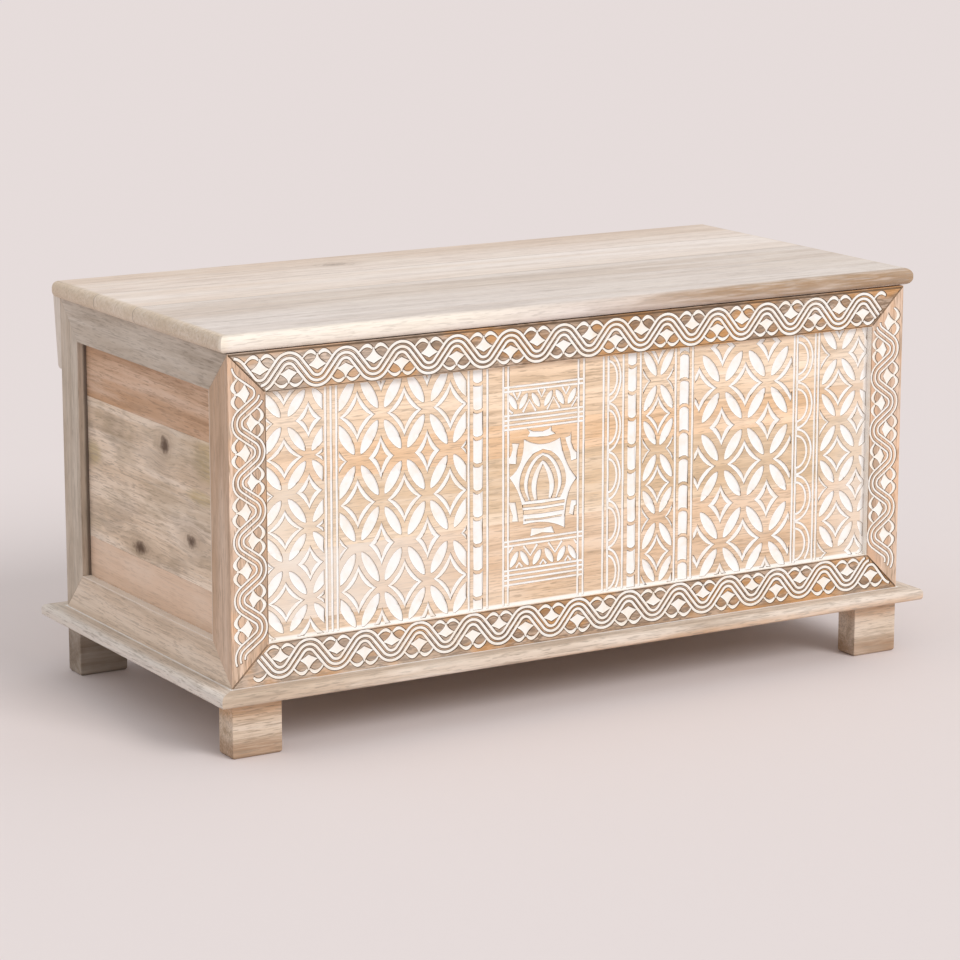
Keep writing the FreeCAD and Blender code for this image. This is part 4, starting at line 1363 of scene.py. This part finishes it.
class CHEST_OT_fit_brass(bpy.types.Operator):
    """Finish the hinges, and set the screws of hinges, battens and stops"""
    bl_idname = "chest.fit_brass"
    bl_label = "Fit hinges and screws"
    HINGE_SCREW = 0.003
    WOOD_SCREW = 0.004
    HINGE_PITCH = 0.024
    LEAF_MARGIN = 0.008
    LEAF_GAP = 0.0002
    BATTEN_MARGIN = 0.025
    STOP_FOOT = 0.010
    PROUD = 0.00008

    def execute(self, context):
        brass = old_brass("old_brass", context.scene.chest_tones.brass)
        for node in NODES:
            if node.startswith("hinge_"):
                dress(node, brass, 0.0002)
        up = Vector((0, 0, 1))
        down = Vector((0, 0, -1))
        lower = []
        upper = []
        battens = []
        stops = []
        for side in ("left", "right"):
            low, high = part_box("hinge_%s_lower_leaf" % side)
            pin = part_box("hinge_%s_pin" % side)
            level = (pin[0].z + pin[1].z) / 2
            for step in (-1, 0, 1):
                x = (low.x + high.x) / 2 + self.HINGE_PITCH * step
                y = low.y + self.LEAF_MARGIN
                lower.append((Vector((x, y, level - self.LEAF_GAP)), up))
                upper.append((Vector((x, y, level + self.LEAF_GAP)), down))
            low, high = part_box("lid_batten_%s" % side)
            for board in ("front", "middle", "rear"):
                first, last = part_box("lid_%s_board" % board)
                y = min(max((first.y + last.y) / 2, low.y + self.BATTEN_MARGIN), high.y - self.BATTEN_MARGIN)
                battens.append((Vector(((low.x + high.x) / 2, y, low.z)), down))
            low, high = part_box("lid_stop_%s" % side)
            lean = (high.y - low.y - self.STOP_FOOT) / (high.z - low.z)
            for share in (0.25, 0.6):
                rise = (high.z - low.z) * share
                spot = Vector(((low.x + high.x) / 2, low.y + self.STOP_FOOT + lean * rise, low.z + rise))
                stops.append((spot, Vector((0, 1, -lean)).normalized()))
        self.set_screws("hinge_screws_lower", lower, self.HINGE_SCREW, brass, "carcass")
        self.set_screws("hinge_screws_upper", upper, self.HINGE_SCREW, brass, "lid")
        self.set_screws("batten_screws", battens, self.WOOD_SCREW, brass, "lid")
        self.set_screws("stop_screws", stops, self.WOOD_SCREW, brass, "carcass")
        return {"FINISHED"}

    def set_screws(self, name, places, radius, brass, body):
        """Countersunk heads with a slot, flush with what they hold."""
        heads = bmesh.new()
        dice = random.Random(5)
        for spot, out in places:
            turn = out.to_track_quat("Z", "Y").to_matrix().to_4x4()
            self.add_head(heads, radius, dice.uniform(0, math.pi), spot, turn)
        mesh = bpy.data.meshes.new(name)
        heads.to_mesh(mesh)
        heads.free()
        piece = finish_mesh(mesh, name, [brass])
        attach(piece, body)

    def add_head(self, heads, radius, spin, spot, turn):
        """Two half discs with a slot between them, on a cone that fills the countersink."""
        def ring(angles, reach, level):
            flat = [Vector((math.cos(angle) * reach, math.sin(angle) * reach, level)) for angle in angles]
            return [heads.verts.new(spot + turn @ point) for point in flat]

        def join(top, foot):
            heads.faces.new(top)
            for index in range(len(top)):
                after = (index + 1) % len(top)
                heads.faces.new((top[index], foot[index], foot[after], top[after]))

        depth = radius * 0.3
        slot = math.asin(0.16)
        for half in (0, math.pi):
            angles = [slot + (math.pi - 2 * slot) * index / 14 + spin + half for index in range(15)]
            join(ring(angles, radius, self.PROUD), ring(angles, radius * 0.98, -depth))
        angles = [2 * math.pi * index / 20 for index in range(20)]
        tip = ring(angles, radius * 0.5, -radius * 0.7)
        join(ring(angles, radius * 0.97, -depth * 0.8), tip)
        heads.faces.new(tip[::-1])


class CHEST_OT_set_stage(bpy.types.Operator):
    """Lay the floor, light it softly and place the camera"""
    bl_idname = "chest.set_stage"
    bl_label = "Set stage"
    FLOOR_REACH = 60.0
    FLOOR_GAIN = 1.02
    GLOW_COLOUR = (1.0, 0.99, 0.985, 1.0)
    GLOW = 0.75
    KEY_LIGHT = 1.5
    KEY_SPREAD = 25
    KEY_FROM = (0.12, -0.38, 0.27)
    SENSOR = 36.0

    def execute(self, context):
        scene = context.scene
        scene.view_settings.view_transform = "Standard"
        scene.view_settings.look = "None"
        self.lay_floor(scene, scene.chest_stage.backdrop)
        self.light(scene)
        self.place_camera(scene, scene.chest_stage)
        return {"FINISHED"}

    def lay_floor(self, scene, colour):
        reach = self.FLOOR_REACH
        mesh = bpy.data.meshes.new("floor")
        mesh.from_pydata([(-reach, -reach, 0), (reach, -reach, 0), (reach, reach, 0), (-reach, reach, 0)], [],
                         [(0, 1, 2, 3)])
        floor = bpy.data.objects.new("floor", mesh)
        scene.collection.objects.link(floor)
        work = Finish("pale_floor")
        work.colour = (*[level / self.FLOOR_GAIN for level in colour], 1.0)
        mesh.materials.append(work.settle(0.95, 0.0))

    def light(self, scene):
        world = bpy.data.worlds.new("soft surroundings")
        world.use_nodes = True
        glow = world.node_tree.nodes["Background"]
        glow.inputs["Color"].default_value = self.GLOW_COLOUR
        glow.inputs["Strength"].default_value = self.GLOW
        scene.world = world
        lamp = bpy.data.lights.new("soft key", "SUN")
        lamp.energy = self.KEY_LIGHT
        lamp.angle = math.radians(self.KEY_SPREAD)
        key = bpy.data.objects.new("soft key", lamp)
        key.rotation_euler = Vector(self.KEY_FROM).to_track_quat("Z", "Y").to_euler()
        scene.collection.objects.link(key)

    def place_camera(self, scene, stage):
        data = bpy.data.cameras.new("photo camera")
        data.sensor_width = self.SENSOR
        data.lens = stage.camera_lens
        camera = bpy.data.objects.new("photo camera", data)
        back = Vector((-math.sin(stage.camera_turn) * math.cos(stage.camera_rise),
                       -math.cos(stage.camera_turn) * math.cos(stage.camera_rise),
                       math.sin(stage.camera_rise)))
        camera.location = Vector((stage.look_x, 0.0, stage.look_z)) + back * stage.camera_distance
        camera.rotation_euler = back.to_track_quat("Z", "Y").to_euler()
        scene.collection.objects.link(camera)
        scene.camera = camera


class CHEST_PT_tools(bpy.types.Panel):
    """Lists the steps that carve and finish the chest"""
    bl_idname = "CHEST_PT_tools"
    bl_label = "Carved chest"
    bl_space_type = "VIEW_3D"
    bl_region_type = "UI"
    bl_category = "Chest"

    def draw(self, context):
        for group in (context.scene.chest_carving, context.scene.chest_tones, context.scene.chest_stage):
            box = self.layout.box()
            for name in group.__annotations__:
                box.prop(group, name)
        for step in STEPS:
            self.layout.operator(step.bl_idname)


STEPS = (CHEST_OT_carve_panel, CHEST_OT_carve_frame, CHEST_OT_finish_walls, CHEST_OT_finish_lid,
         CHEST_OT_finish_base, CHEST_OT_finish_inside, CHEST_OT_fit_brass, CHEST_OT_set_stage)
GROUPS = {"chest_carving": ChestCarving, "chest_tones": ChestTones, "chest_stage": ChestStage}


def register():
    for group in GROUPS.values():
        bpy.utils.register_class(group)
    for name, group in GROUPS.items():
        setattr(bpy.types.Scene, name, bpy.props.PointerProperty(type=group))
    for item in (*STEPS, CHEST_PT_tools):
        bpy.utils.register_class(item)


def unregister():
    for item in (CHEST_PT_tools, *reversed(STEPS)):
        bpy.utils.unregister_class(item)
    for name in GROUPS:
        delattr(bpy.types.Scene, name)
    for group in GROUPS.values():
        bpy.utils.unregister_class(group)


def main():
    register()
    bpy.ops.chest.carve_panel()
    bpy.ops.chest.carve_frame()
    bpy.ops.chest.finish_walls()
    bpy.ops.chest.finish_lid()
    bpy.ops.chest.finish_base()
    bpy.ops.chest.finish_inside()
    bpy.ops.chest.fit_brass()
    bpy.ops.chest.set_stage()


if __name__ == "__main__":
    main()
